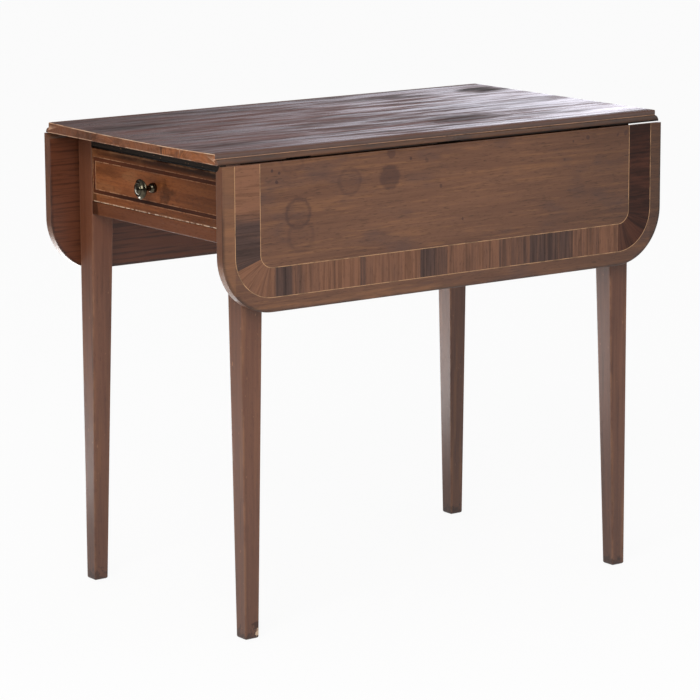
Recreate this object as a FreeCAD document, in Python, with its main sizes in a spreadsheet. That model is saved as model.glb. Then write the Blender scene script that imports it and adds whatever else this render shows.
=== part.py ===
"""Pembroke table: a two-board top on four tapered legs, two drop leaves on rule joints, and an end drawer.

The table stands on the floor at z = 0. X runs along the leaves, with the drawer at the -X end.
Y runs across the table, with the near leaf at -Y and the far leaf at +Y. Lengths are in millimetres.
The far side is modelled in place, and the near side is the same work turned half round about Z.
"""
import FreeCAD
import Part
import Sketcher

import math
import os

SIZES = {
    # top and rule joint
    "table_height": 715.0,
    "top_length": 816.0,
    "top_thick": 16.0,
    "leaf_clear": 6.5,
    "shoulder_step": 7.8,
    "board_seam": 136.5,
    "lip_gap": 1.5,
    "cove_gap": 1.0,
    # leaves and their inlay
    "leaf_reach": 216.0,
    "leaf_trim": 1.5,
    "string_inset": 21.0,
    "string_width": 1.4,
    "band_width": 42.0,
    "inner_corner": 19.2,
    "inlay_depth": 1.0,
    "side_veneer": 62.0,
    # frame
    "frame_length": 720.0,
    "frame_width": 437.0,
    "leg_square": 37.0,
    "leg_foot": 23.2,
    "apron_depth": 123.0,
    "rail_setback": 3.0,
    "guide_step": 3.0,
    "side_rail_thick": 16.0,
    "back_rail_thick": 20.0,
    "upper_rail_thick": 21.0,
    "lower_rail_thick": 19.5,
    "tenon_thick": 9.0,
    "tenon_wall": 3.0,
    "tenon_length": 18.0,
    "tenon_shoulder": 5.0,
    "runner_width": 24.0,
    "kicker_width": 22.0,
    "block_size": 18.0,
    "block_length": 50.0,
    "block_clear": 25.0,
    # fly brackets
    "fly_axis": 120.0,
    "bracket_length": 200.0,
    "bracket_gap": 2.0,
    "bracket_scoop": 30.0,
    "knuckle_gap": 0.3,
    "fly_pin_radius": 3.0,
    # hinges
    "hinge_spacing": 270.0,
    "hinge_width": 42.0,
    "middle_knuckle": 16.0,
    "barrel_radius": 4.0,
    "hinge_pin_radius": 1.6,
    "pin_play": 0.05,
    "hinge_gap": 0.4,
    "flap_thick": 1.6,
    "top_flap": 27.0,
    "leaf_flap": 40.0,
    "flap_margin": 9.0,
    # wood screws
    "screw_head": 3.2,
    "screw_shank": 1.5,
    "screw_head_height": 1.5,
    "hinge_screw_length": 12.0,
    "hinge_screw_spacing": 24.0,
    "top_screw_bite": 11.0,
    "top_screw_spacing": 250.0,
    "rail_screw_spacing": 180.0,
    # drawer
    "drawer_length": 560.0,
    "drawer_gap": 0.5,
    "drawer_front_thick": 20.0,
    "drawer_side_thick": 9.0,
    "drawer_back_thick": 9.0,
    "drawer_bottom_thick": 7.0,
    "groove_depth": 4.0,
    "front_lap": 6.0,
    "tail_root": 12.0,
    "tail_flare": 2.5,
    "stop_height": 5.0,
    "stop_width": 40.0,
    "stop_side_clear": 32.5,
    "stop_clearance": 3.0,
    "band_rise": 12.3,
    "band_end_inset": 3.5,
    "line_width": 1.2,
    "line_core": 5.4,
    # knob, set a little off the drawer's middle towards the far leaf
    "knob_offset": 6.5,
    "knob_collar_radius": 7.7,
    "knob_collar_height": 9.0,
    "knob_collar_bevel": 3.0,
    "knob_neck_radius": 4.2,
    "knob_neck_length": 5.0,
    "knob_flare_length": 11.0,
    "knob_head_radius": 15.0,
    "knob_rim": 1.8,
    "knob_dome": 6.0,
    "knob_socket_depth": 5.5,
    "knob_bolt_radius": 2.5,
    "knob_bolt_grip": 12.0,
    "knob_nut_width": 10.0,
    "knob_nut_height": 5.0,
}
VENEER_LENGTHS = {
    # pieces of the crossband along the leaf's lower edge, from the drawer end of the near leaf
    "veneer_a": 34.0,
    "veneer_b": 123.0,
    "veneer_c": 108.0,
    "veneer_d": 49.0,
    "veneer_e": 98.0,
    "veneer_f": 57.0,
    "veneer_g": 83.0,
}
HINGES = (-1, 0, 1)
SIDES = {"far": 1, "near": -1}
KNUCKLES = 5
TAILS = 3
NUT_SIDES = 6
TOUCHING = 0.01

X_AXIS = FreeCAD.Vector(1, 0, 0)
Y_AXIS = FreeCAD.Vector(0, 1, 0)
Z_AXIS = FreeCAD.Vector(0, 0, 1)
UPRIGHT = FreeCAD.Rotation()
ALONG_X = FreeCAD.Rotation(Y_AXIS, 90)
ALONG_Y = FreeCAD.Rotation(X_AXIS, -90)
HALF_TURN = FreeCAD.Rotation(Z_AXIS, 180)


class Size:
    """A length that carries its number and the sheet expression that gives it."""

    def __init__(self, number, text):
        self.number = number
        self.text = text

    def _with(self, sign, other, number):
        return Size(number, f"({self.text} {sign} {other.text})")

    def __add__(self, other):
        other = as_size(other)
        return self._with("+", other, self.number + other.number)

    def __sub__(self, other):
        other = as_size(other)
        return self._with("-", other, self.number - other.number)

    def __mul__(self, other):
        other = as_size(other)
        return self._with("*", other, self.number * other.number)

    def __truediv__(self, other):
        other = as_size(other)
        return self._with("/", other, self.number / other.number)

    def __neg__(self):
        return Size(-self.number, f"(-{self.text})")

    def root(self):
        return Size(math.sqrt(self.number), f"sqrt({self.text})")


def as_size(value):
    return value if isinstance(value, Size) else Size(float(value), repr(float(value)))


class Sheet:
    """The spreadsheet of driving dimensions, read by name."""

    def __init__(self, document, sizes):
        self.cells = document.addObject("Spreadsheet::Sheet", "Sheet")
        for row, (name, number) in enumerate(sizes.items(), start=1):
            self.cells.set(f"A{row}", name)
            self.cells.set(f"B{row}", str(number))
            self.cells.setAlias(f"B{row}", name)
            setattr(self, name, Size(number, f"Sheet.{name}"))
        document.recompute()


doc = FreeCAD.newDocument("PembrokeTable")
size = Sheet(doc, {**SIZES, **VENEER_LENGTHS})

# heights
underside = size.table_height - size.top_thick
apron_foot = underside - size.apron_depth
runner_top = apron_foot + size.lower_rail_thick
kicker_foot = underside - size.upper_rail_thick
# rule joint and leaf, in the section across the table
shoulder = size.frame_width / 2 + size.leaf_clear
ovolo = size.top_thick - size.shoulder_step
cove = ovolo + size.cove_gap
leaf_face = shoulder + size.top_thick
leaf_top = underside - size.lip_gap
leaf_foot = underside - size.leaf_reach
half_top = size.top_length / 2
half_leaf = half_top - size.leaf_trim
band_start = size.string_inset + size.string_width
band_end = band_start + size.band_width
inlay_end = band_end + size.string_width
leaf_corner = inlay_end + size.inner_corner
barrel_room = size.barrel_radius + size.hinge_gap
# frame plan
end_x = size.frame_length / 2
side_y = size.frame_width / 2
leg_in_x = end_x - size.leg_square
leg_in_y = side_y - size.leg_square
rail_in = leg_in_y - size.guide_step
fly_in = rail_in + size.side_rail_thick
fly_out = side_y - size.rail_setback
fly_thick = fly_out - fly_in
back_out = end_x - size.rail_setback
back_in = back_out - size.back_rail_thick
cross_tenon_out = back_out - size.tenon_wall
cross_tenon_in = cross_tenon_out - size.tenon_thick
side_tenon_length = cross_tenon_in - size.tenon_wall - leg_in_x
# drawer
front_back = size.drawer_front_thick - end_x
drawer_foot = runner_top + size.drawer_gap
drawer_head = kicker_foot - size.drawer_gap
drawer_tall = drawer_head - drawer_foot
drawer_out = rail_in - size.drawer_gap
drawer_in = drawer_out - size.drawer_side_thick
drawer_end = size.drawer_length - end_x
drawer_back_in = drawer_end - size.drawer_back_thick
bottom_foot = runner_top + size.stop_height + size.stop_clearance
knob_level = (drawer_foot + drawer_head) / 2


def bind(item, prop, value):
    item.setExpression(prop, as_size(value).text)


def place(item, corner, rotation=UPRIGHT):
    """Turns a primitive and ties its base point to the sheet."""
    item.Placement = FreeCAD.Placement(FreeCAD.Vector(), rotation)
    for axis, value in zip("xyz", corner):
        bind(item, f"Placement.Base.{axis}", value)
    return item


def slab(name, x, y, z):
    """A rectangular block: x, y and z each give its start and its length along that axis."""
    block = doc.addObject("Part::Box", name)
    for prop, (_, length) in zip(("Length", "Width", "Height"), (x, y, z)):
        bind(block, prop, length)
    return place(block, [start for start, _ in (x, y, z)])


def rod(name, radius, base, length, rotation=UPRIGHT):
    """A cylinder from its base point along the turned Z axis."""
    cylinder = doc.addObject("Part::Cylinder", name)
    bind(cylinder, "Radius", radius)
    bind(cylinder, "Height", length)
    return place(cylinder, base, rotation)


def screw(name, base, length, rotation=UPRIGHT):
    """A countersunk wood screw with its head flush at the base point."""
    head = doc.addObject("Part::Cone", name + "_head")
    bind(head, "Radius1", size.screw_head)
    bind(head, "Radius2", size.screw_shank)
    bind(head, "Height", size.screw_head_height)
    place(head, base, rotation)
    shank = rod(name + "_shank", size.screw_shank, base, length, rotation)
    return fuse(name, [head, shank])


def wedge(name, bounds, base, rotation):
    """A block that tapers along its own Y axis, from the first x and z spans to the second."""
    block = doc.addObject("Part::Wedge", name)
    props = ("Xmin", "Xmax", "Zmin", "Zmax", "X2min", "X2max", "Z2min", "Z2max", "Ymin", "Ymax")
    for prop, value in zip(props, bounds):
        bind(block, prop, value)
    return place(block, base, rotation)


def fuse(name, pieces):
    joined = doc.addObject("Part::MultiFuse", name)
    joined.Shapes = pieces
    joined.Refine = True
    return joined


def cut(name, base, tools):
    """Cuts each tool from the base in turn."""
    for number, tool in enumerate(tools):
        result = doc.addObject("Part::Cut", f"{name}_cut_{number}")
        result.Base = base
        result.Tool = tool
        base = result
    return base


def group(name, pieces):
    gathered = doc.addObject("Part::Compound", name)
    gathered.Links = pieces
    return gathered


def turned(name, piece):
    """The same piece turned half round about the table's upright axis."""
    copy = group(name, [piece])
    copy.Placement = FreeCAD.Placement(FreeCAD.Vector(), HALF_TURN)
    return copy


def across(side, start, length):
    """A span measured outwards from the centre line, on the far or the near side."""
    return (start, length) if side > 0 else (-(start + length), length)


def sketch(body, name, plane, outline, lift):
    """A closed outline on one of the body's own planes, moved along the plane's normal by lift.

    The outline lists corners as (x, y, arc). arc is None where a straight line leaves the corner, or
    (centre x, centre y, radius) where a round stretch does. Each corner is tied to the sheet.
    """
    drawing = body.newObject("Sketcher::SketchObject", name)
    support = next(item for item in body.Origin.OriginFeatures if item.Role == plane)
    drawing.AttachmentSupport = (support, "")
    drawing.MapMode = "FlatFace"
    bind(drawing, "AttachmentOffset.Base.z", lift)
    corners = [(as_size(x), as_size(y), arc) for x, y, arc in outline]
    ends = []
    for number, (x, y, arc) in enumerate(corners):
        next_x, next_y, _ = corners[(number + 1) % len(corners)]
        start = FreeCAD.Vector(x.number, y.number, 0)
        finish = FreeCAD.Vector(next_x.number, next_y.number, 0)
        ends.append(add_edge(drawing, start, finish, arc))
    for number, (x, y, arc) in enumerate(corners):
        before = (number - 1) % len(corners)
        first, last = ends[number][0], ends[before][1]
        drawing.addConstraint(Sketcher.Constraint("Coincident", before, last, number, first))
        tie(drawing, Sketcher.Constraint("DistanceX", -1, 1, number, first, x.number), x)
        tie(drawing, Sketcher.Constraint("DistanceY", -1, 1, number, first, y.number), y)
        if arc:
            tie(drawing, Sketcher.Constraint("Radius", number, arc[2].number), arc[2])
    return drawing


def add_edge(drawing, start, finish, arc):
    """Adds a line, or the shorter arc about its centre, and returns its start and end point numbers."""
    if arc is None:
        drawing.addGeometry(Part.LineSegment(start, finish), False)
        return 1, 2
    centre = FreeCAD.Vector(arc[0].number, arc[1].number, 0)
    circle = Part.Circle(centre, Z_AXIS, arc[2].number)
    from_angle, to_angle = (math.atan2(p.y - centre.y, p.x - centre.x) for p in (start, finish))
    turn = (to_angle - from_angle) % (2 * math.pi)
    if turn < math.pi:
        drawing.addGeometry(Part.ArcOfCircle(circle, from_angle, from_angle + turn), False)
        return 1, 2
    drawing.addGeometry(Part.ArcOfCircle(circle, to_angle, to_angle + 2 * math.pi - turn), False)
    return 2, 1


def tie(drawing, constraint, value):
    number = drawing.addConstraint(constraint)
    drawing.setExpression(f"Constraints[{number}]", value.text)


def padded(name, plane, outline, lift, length):
    """A body whose outline is carried along its plane's normal."""
    body = doc.addObject("PartDesign::Body", name)
    pad = body.newObject("PartDesign::Pad", name + "_pad")
    pad.Profile = sketch(body, name + "_outline", plane, outline, lift)
    bind(pad, "Length", length)
    return body


def revolved(name, outline, offset, level):
    """A turned piece: its outline in the XZ plane goes round the X axis, at the given offset and height."""
    body = doc.addObject("PartDesign::Body", name)
    turning = body.newObject("PartDesign::Revolution", name + "_turning")
    turning.Profile = sketch(body, name + "_outline", "XZ_Plane", outline, 0)
    axis = next(item for item in body.Origin.OriginFeatures if item.Role == "X_Axis")
    turning.ReferenceAxis = (axis, [""])
    turning.Angle = 360
    bind(body, "Placement.Base.y", offset)
    bind(body, "Placement.Base.z", level)
    return body


nodes = {}


def keep(name, item):
    """Names a finished sub-part."""
    item.Label = name
    nodes[name] = item
    return item


def top_board(name, inner_edge):
    """A top board: straight at its inner edge, with the rule joint's step and ovolo at its outer edge."""
    outline = [
        (inner_edge, underside, None),
        (shoulder + ovolo, underside, (shoulder, underside, ovolo)),
        (shoulder, underside + ovolo, None),
        (shoulder, size.table_height, None),
        (inner_edge, size.table_height, None),
    ]
    return padded(name, "YZ_Plane", outline, -half_top, size.top_length)


def leaf_blank():
    """A leaf board hanging on the far side, with the cove of the rule joint at its upper edge."""
    reach = (cove * cove - size.lip_gap * size.lip_gap).root()
    outline = [
        (shoulder, leaf_foot, None),
        (leaf_face, leaf_foot, None),
        (leaf_face, leaf_top, None),
        (shoulder + reach, leaf_top, (shoulder, underside, cove)),
        (shoulder, underside - cove, None),
    ]
    body = padded("leaf_blank", "YZ_Plane", outline, -half_leaf, half_leaf * 2)
    doc.recompute()
    corners = []
    for number, edge in enumerate(body.Shape.Edges, start=1):
        box = edge.BoundBox
        at_foot = abs(box.ZMax - leaf_foot.number) < TOUCHING
        at_end = abs(abs(box.Center.x) - half_leaf.number) < TOUCHING
        if at_foot and at_end:
            corners.append(f"Edge{number}")
    board = body.Tip
    rounding = body.newObject("PartDesign::Fillet", "leaf_rounding")
    rounding.Base = (board, corners)
    bind(rounding, "Radius", leaf_corner)
    channel = body.newObject("PartDesign::Pocket", "leaf_channel")
    outline = band_outline(size.string_inset, inlay_end)
    channel.Profile = sketch(body, "leaf_channel_outline", "XZ_Plane", outline, size.inlay_depth - leaf_face)
    bind(channel, "Length", size.inlay_depth)
    return body


def band_outline(outer, inner):
    """A U-shaped band that follows the leaf's ends and lower edge, between two distances from them."""
    bend_x = half_leaf - leaf_corner
    bend_z = leaf_foot + leaf_corner

    def run(inset, way):
        """One edge of the band, from one upper end to the other: way is 1 from the -X end, -1 from +X."""
        bend = leaf_corner - inset
        return [
            ((inset - half_leaf) * way, leaf_top, None),
            ((inset - half_leaf) * way, bend_z, (-bend_x * way, bend_z, bend)),
            (-bend_x * way, leaf_foot + inset, None),
            (bend_x * way, leaf_foot + inset, (bend_x * way, bend_z, bend)),
            ((half_leaf - inset) * way, bend_z, None),
            ((half_leaf - inset) * way, leaf_top, None),
        ]

    return run(outer, 1) + run(inner, -1)


def inlay_band(name, outer, inner):
    return padded(name, "XZ_Plane", band_outline(outer, inner), -leaf_face, size.inlay_depth)


def crossband():
    """The crossband as its separate veneers: two at each end, one round each corner, the rest below.

    Below, they are laid in turn until the edge is full, and the last one is cut to what is left.
    """
    band = inlay_band("band", band_start, band_end)
    bend_x = half_leaf - leaf_corner
    bend_z = leaf_foot + leaf_corner
    depth = (leaf_face - size.inlay_depth, size.inlay_depth)
    zones = []
    for end in (-1, 1):
        span = across(end, bend_x, leaf_corner)
        zones.append((span, (leaf_foot, leaf_corner)))
        zones.append((span, (bend_z, size.side_veneer)))
        zones.append((span, (bend_z + size.side_veneer, leaf_top - bend_z - size.side_veneer)))
    start = bend_x
    for name in VENEER_LENGTHS:
        length = getattr(size, name)
        if (start + bend_x).number <= length.number:
            break
        start = start - length
        zones.append(((start, length), (leaf_foot, leaf_corner)))
    zones.append(((-bend_x, start + bend_x), (leaf_foot, leaf_corner)))
    veneers = []
    for number, (x, z) in enumerate(zones):
        veneer = doc.addObject("Part::Common", f"veneer_{number}")
        veneer.Base = band
        veneer.Tool = slab(f"veneer_zone_{number}", x, depth, z)
        veneers.append(veneer)
    return group("crossband", veneers)


def barrel(name, radius, centre, length):
    """A round about the pin's line, centred along it."""
    return rod(name, radius, (centre - length / 2, shoulder, underside), length, ALONG_X)


def hinge_screws(name, centre, y, z, rotation):
    """The pair of screws that hold one flap."""
    screws = []
    for way in (-1, 1):
        base = (centre + size.hinge_screw_spacing / 2 * way, y, z)
        screws.append(screw(f"{name}_{way + 1}", base, size.hinge_screw_length, rotation))
    return screws


def top_flap(name, centre, span, pin, screws):
    """The flap let into the top, with the two outer knuckles."""
    inward = (shoulder - size.top_flap, size.top_flap)
    plate = slab(name + "_plate", span, inward, (underside, size.flap_thick))
    roll = barrel(name + "_roll", size.barrel_radius, centre, size.hinge_width)
    middle = barrel(name + "_gap", barrel_room, centre, size.middle_knuckle + size.hinge_gap)
    return cut(name, fuse(name + "_blank", [plate, roll]), [middle, pin] + screws)


def leaf_flap(name, centre, span, screws):
    """The flap let into the leaf, with the middle knuckle, which turns on the pin."""
    outer = (size.hinge_width - size.middle_knuckle) / 2
    tall = (underside - size.leaf_flap, size.leaf_flap)
    plate = slab(name + "_plate", span, (shoulder, size.flap_thick), tall)
    roll = barrel(name + "_roll", size.barrel_radius, centre, size.middle_knuckle - size.hinge_gap)
    gaps = [barrel(name + "_bore", size.hinge_pin_radius + size.pin_play, centre, size.hinge_width)]
    for way in (-1, 1):
        at = centre + (size.middle_knuckle + outer) / 2 * way
        gaps.append(barrel(f"{name}_gap_{way + 1}", barrel_room, at, outer + size.hinge_gap))
    return cut(name, fuse(name + "_blank", [plate, roll]), gaps + screws)


def hinge_set():
    """The far side's hinges: pins, flaps, their screws, and the recesses for them in the top."""
    sets = {"pins": [], "top_flaps": [], "top_screws": [], "leaf_flaps": [], "leaf_screws": []}
    recesses = []
    top_screw_y = shoulder - size.top_flap + size.flap_margin
    leaf_screw_z = underside - size.leaf_flap + size.flap_margin
    for number in HINGES:
        name = f"hinge_{number + 2}"
        centre = size.hinge_spacing * number
        span = (centre - size.hinge_width / 2, size.hinge_width)
        pin = barrel(name + "_pin", size.hinge_pin_radius, centre, size.hinge_width)
        top_screws = hinge_screws(name + "_top_screw", centre, top_screw_y, underside, UPRIGHT)
        leaf_screws = hinge_screws(name + "_leaf_screw", centre, shoulder, leaf_screw_z, ALONG_Y)
        sets["pins"].append(pin)
        sets["top_flaps"].append(top_flap(name + "_top_flap", centre, span, pin, top_screws))
        sets["top_screws"] += top_screws
        sets["leaf_flaps"].append(leaf_flap(name + "_leaf_flap", centre, span, leaf_screws))
        sets["leaf_screws"] += leaf_screws
        room = (span[0] - size.hinge_gap, size.hinge_width + size.hinge_gap * 2)
        notch_tall = (underside, size.flap_thick + size.hinge_gap)
        recesses.append(slab(name + "_notch", room, (shoulder, cove), notch_tall))
        recesses.append(barrel(name + "_groove", barrel_room, centre, room[1]))
    hinges = {f"hinge_{name}": group(f"all_{name}", pieces) for name, pieces in sets.items()}
    return hinges, recesses


def leaves_and_top():
    """Both leaves with their inlay, their hinges, and the top's two boards."""
    hinges, recesses = hinge_set()
    pieces = {f"{name}_far": piece for name, piece in hinges.items()}
    let_in = [hinges["hinge_leaf_flaps"], hinges["hinge_leaf_screws"]]
    strings = [
        inlay_band("outer_string", size.string_inset, band_start),
        inlay_band("inner_string", band_end, inlay_end),
    ]
    pieces["leaf_board_far"] = cut("leaf_board", leaf_blank(), let_in)
    pieces["leaf_crossband_far"] = crossband()
    pieces["leaf_stringing_far"] = group("stringing", strings)
    for name, piece in pieces.items():
        keep(name, piece)
        near_name = name.replace("_far", "_near")
        keep(near_name, turned(near_name, piece))
    screws = keep("top_screws", top_fixings())
    tools = recesses + [hinges["hinge_top_flaps"], hinges["hinge_top_screws"]]
    wide = cut("wide_board", top_board("wide_board_blank", -size.board_seam), tools + [screws])
    keep("top_wide_board", wide)
    narrow = cut("narrow_board", top_board("narrow_board_blank", size.board_seam), tools)
    keep("top_narrow_board", cut("narrow_board_fixed", turned("narrow_board_near", narrow), [screws]))


def top_fixings():
    """Screws that hold the top: up through the kickers, and through the upper drawer rail."""
    length = size.upper_rail_thick + size.top_screw_bite
    screws = []
    for side_name, side in SIDES.items():
        y = (rail_in - size.kicker_width / 2) * side
        for number in HINGES:
            x = size.top_screw_spacing * number
            screws.append(screw(f"kicker_screw_{side_name}_{number + 2}", (x, y, kicker_foot), length))
        base = (size.leg_square / 2 - end_x, size.rail_screw_spacing / 2 * side, kicker_foot)
        screws.append(screw(f"rail_screw_{side_name}", base, length))
    return group("top_fixings", screws)


def cross_rail(name, x, z, tenon_x, tenon_z):
    """A rail across the table between two legs, with a tenon at each end."""
    parts = [slab(name + "_body", x, (-leg_in_y, leg_in_y * 2), z)]
    for side in SIDES.values():
        span = across(side, leg_in_y, size.tenon_length)
        parts.append(slab(f"{name}_tenon_{side + 1}", tenon_x, span, tenon_z))
    return fuse(name, parts)


def side_rail():
    """The fixed inner rail along the far side, tenoned into its two legs."""
    parts = [slab("side_rail_body", (-leg_in_x, leg_in_x * 2), (rail_in, size.side_rail_thick),
                  (apron_foot, size.apron_depth))]
    thick = (fly_in - size.tenon_wall - size.tenon_thick, size.tenon_thick)
    tall = (apron_foot + size.tenon_shoulder, size.apron_depth - size.tenon_shoulder * 2)
    for end in (-1, 1):
        span = across(end, leg_in_x, side_tenon_length)
        parts.append(slab(f"side_rail_tenon_{end + 1}", span, thick, tall))
    return fuse("side_rail", parts)


def leg(name, end, side, rails):
    """A square leg whose two inner faces taper below the apron, with mortises for its rails."""
    def spans(length):
        x = across(end, end_x - length, length)
        y = across(side, side_y - length, length)
        return x, y

    def edges(span):
        return span[0], span[0] + span[1]

    def tapered(length):
        x, y = spans(length)
        low, high = edges(y)
        return [*edges(x), -high, -low]

    bounds = tapered(size.leg_foot) + tapered(size.leg_square) + [as_size(0), apron_foot]
    shaft = wedge(name + "_shaft", bounds, (0, 0, 0), FreeCAD.Rotation(X_AXIS, 90))
    head = slab(name + "_head", *spans(size.leg_square), (apron_foot, size.apron_depth))
    return cut(name, fuse(name + "_blank", [shaft, head]), rails)


def frame():
    """Legs, rails, runners, kickers, drawer stops and glue blocks."""
    tall = (apron_foot, size.apron_depth)
    tenon_tall = (apron_foot + size.tenon_shoulder, size.apron_depth - size.tenon_shoulder * 2)
    back_tenon = (cross_tenon_in, size.tenon_thick)
    front_tenon = across(-1, *back_tenon)
    back_rail = cross_rail("back", (back_in, size.back_rail_thick), tall, back_tenon, tenon_tall)
    front_depth = (-end_x, size.leg_square)
    lower = (apron_foot, size.lower_rail_thick)
    lower_tenon = (apron_foot + size.tenon_shoulder, size.lower_rail_thick - size.tenon_shoulder * 2)
    upper = (kicker_foot, size.upper_rail_thick)
    upper_tenon = (kicker_foot + size.tenon_shoulder, size.upper_rail_thick - size.tenon_shoulder)
    lower_rail = cross_rail("lower", front_depth, lower, front_tenon, lower_tenon)
    upper_rail = cross_rail("upper", front_depth, upper, front_tenon, upper_tenon)
    far_rail = side_rail()
    rails = {"far": far_rail, "near": turned("near_side_rail", far_rail)}
    keep("back_rail", back_rail)
    keep("drawer_lower_rail", lower_rail)
    keep("drawer_upper_rail", cut("drawer_upper_rail", upper_rail, [nodes["top_screws"]]))
    stops, blocks = [], []
    for side_name, side in SIDES.items():
        keep(f"side_rail_{side_name}", rails[side_name])
        keep(f"leg_drawer_{side_name}", leg(f"leg_drawer_{side_name}", -1, side,
                                            [rails[side_name], lower_rail, upper_rail]))
        keep(f"leg_back_{side_name}", leg(f"leg_back_{side_name}", 1, side, [rails[side_name], back_rail]))
        along = (-leg_in_x, leg_in_x + back_in)
        run = across(side, rail_in - size.runner_width, size.runner_width)
        keep(f"drawer_runner_{side_name}", slab(f"runner_{side_name}", along, run, lower))
        kick = across(side, rail_in - size.kicker_width, size.kicker_width)
        kicker = slab(f"kicker_{side_name}", along, kick, upper)
        keep(f"drawer_kicker_{side_name}", cut(f"kicker_{side_name}", kicker, [nodes["top_screws"]]))
        y = across(side, drawer_in - size.stop_side_clear - size.stop_width, size.stop_width)
        depth = (front_back + size.drawer_gap, size.leg_square - size.drawer_front_thick - size.drawer_gap)
        stops.append(slab(f"stop_{side_name}", depth, y, (runner_top, size.stop_height)))
    keep("drawer_stops", group("drawer_stops", stops))
    block_spread = rail_in - size.kicker_width - size.block_clear - size.block_length / 2
    for number in HINGES:
        y = (block_spread * number - size.block_length / 2, size.block_length)
        inner = (back_in - size.block_size, size.block_size)
        upper_corner = (underside - size.block_size, size.block_size)
        blocks.append(slab(f"glue_block_{number + 2}", inner, y, upper_corner))
    keep("glue_blocks", group("glue_blocks", blocks))


def fly_rail():
    """The far side's outer rail: a fixed length, a bracket on a wooden knuckle joint, and an end block."""
    tall = (apron_foot, size.apron_depth)
    deep = (fly_in, fly_thick)
    middle = fly_in + fly_thick / 2
    radius = fly_thick / 2
    level = size.apron_depth / KNUCKLES
    tip = size.bracket_length - size.fly_axis

    def knuckle(name, round_radius, foot, height):
        return rod(name, round_radius, (-size.fly_axis, middle, foot), height)

    pin = knuckle("fly_pin", size.fly_pin_radius, apron_foot, size.apron_depth)
    room = {0: [], 1: []}
    for number in range(KNUCKLES):
        foot = apron_foot + level * number - size.knuckle_gap / 2
        height = level + size.knuckle_gap
        room[number % 2].append(knuckle(f"knuckle_room_{number}", radius + size.knuckle_gap, foot, height))
    fixed_body = slab("fly_fixed_body", (-leg_in_x, leg_in_x - size.fly_axis), deep, tall)
    arm_body = slab("fly_arm_body", (-size.fly_axis, size.bracket_length), deep, tall)
    fixed = fuse("fly_fixed_blank", [fixed_body, knuckle("fly_fixed_roll", radius, *tall)])
    arm = fuse("fly_arm_blank", [arm_body, knuckle("fly_arm_roll", radius, *tall)])
    scoop = rod("fly_scoop", size.bracket_scoop, (tip, fly_in, apron_foot), fly_thick, ALONG_Y)
    block = slab("fly_block", (tip + size.bracket_gap, leg_in_x - tip - size.bracket_gap), deep, tall)
    pieces = {
        "fly_rail_far": cut("fly_fixed", fixed, room[1] + [pin]),
        "fly_bracket_far": cut("fly_arm", arm, room[0] + [pin, scoop]),
        "fly_pin_far": pin,
        "fly_end_block_far": block,
    }
    for name, piece in pieces.items():
        keep(name, piece)
        near_name = name.replace("_far", "_near")
        keep(near_name, turned(near_name, piece))


def tails(name, side, root_x, length, way):
    """Dovetail tails at one end of a drawer side, widening away from their root towards way along X."""
    pitch = drawer_tall / TAILS
    root = size.tail_root / 2
    tip = root + size.tail_flare
    thick = size.drawer_side_thick
    rotation = FreeCAD.Rotation(Z_AXIS, -90 * way)
    inner = drawer_in * side if side * way < 0 else drawer_out * side
    pieces = []
    for number in range(TAILS):
        centre = drawer_foot + pitch * (number + 0.5)
        bounds = [0, thick, -root, root, 0, thick, -tip, tip, 0, length]
        pieces.append(wedge(f"{name}_{number}", bounds, (root_x, inner, centre), rotation))
    return pieces


def drawer():
    """The drawer: front, dovetailed sides and back, grooved-in bottom, line inlay and knob."""
    tail_length = size.drawer_front_thick - size.front_lap
    tall = (drawer_foot, drawer_tall)
    front_half = leg_in_y - size.drawer_gap
    bottom_x = (front_back - size.groove_depth, drawer_end - front_back + size.groove_depth)
    bottom_half = drawer_in + size.groove_depth
    bottom_z = (bottom_foot, size.drawer_bottom_thick)
    bottom = keep("drawer_bottom", slab("bottom", bottom_x, (-bottom_half, bottom_half * 2), bottom_z))
    blanks = []
    for side_name, side in SIDES.items():
        name = f"drawer_side_{side_name}"
        body = slab(name + "_body", (front_back, drawer_back_in - front_back),
                    across(side, drawer_in, size.drawer_side_thick), tall)
        front_tails = tails(name + "_front_tail", side, front_back, tail_length, -1)
        back_tails = tails(name + "_back_tail", side, drawer_back_in, size.drawer_back_thick, 1)
        blank = fuse(name + "_blank", [body] + front_tails + back_tails)
        blanks.append(blank)
        keep(name, cut(name, blank, [bottom]))
    back_foot = bottom_foot + size.drawer_bottom_thick
    back_blank = slab("drawer_back_blank", (drawer_back_in, size.drawer_back_thick),
                      (-drawer_out, drawer_out * 2), (back_foot, drawer_head - back_foot))
    keep("drawer_back", cut("drawer_back", back_blank, blanks))
    lines = line_inlay(front_half)
    hardware = knob()
    front_x = (-end_x, size.drawer_front_thick)
    front_blank = slab("drawer_front_blank", front_x, (-front_half, front_half * 2), tall)
    keep("drawer_front", cut("drawer_front", front_blank, [bottom] + blanks + lines + [hardware]))


def line_inlay(front_half):
    """A light, dark and light line let into the drawer front as nested rectangles."""
    depth = (-end_x, size.inlay_depth)

    def rectangle(name, inset):
        width = front_half - size.band_end_inset - inset
        foot = drawer_foot + size.band_rise + inset
        tall = drawer_tall - (size.band_rise + inset) * 2
        return slab(name, depth, (-width, width * 2), (foot, tall))

    core_start = size.line_width
    core_end = core_start + size.line_core
    insets = [as_size(0), core_start, core_end, core_end + size.line_width]
    rings = []
    for number, (outer, inner) in enumerate(zip(insets, insets[1:])):
        field = rectangle(f"line_{number}_outer", outer)
        rings.append(cut(f"line_{number}", field, [rectangle(f"line_{number}_inner", inner)]))
    keep("drawer_light_lines", group("light_lines", [rings[0], rings[2]]))
    keep("drawer_dark_line", rings[1])
    return rings


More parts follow.
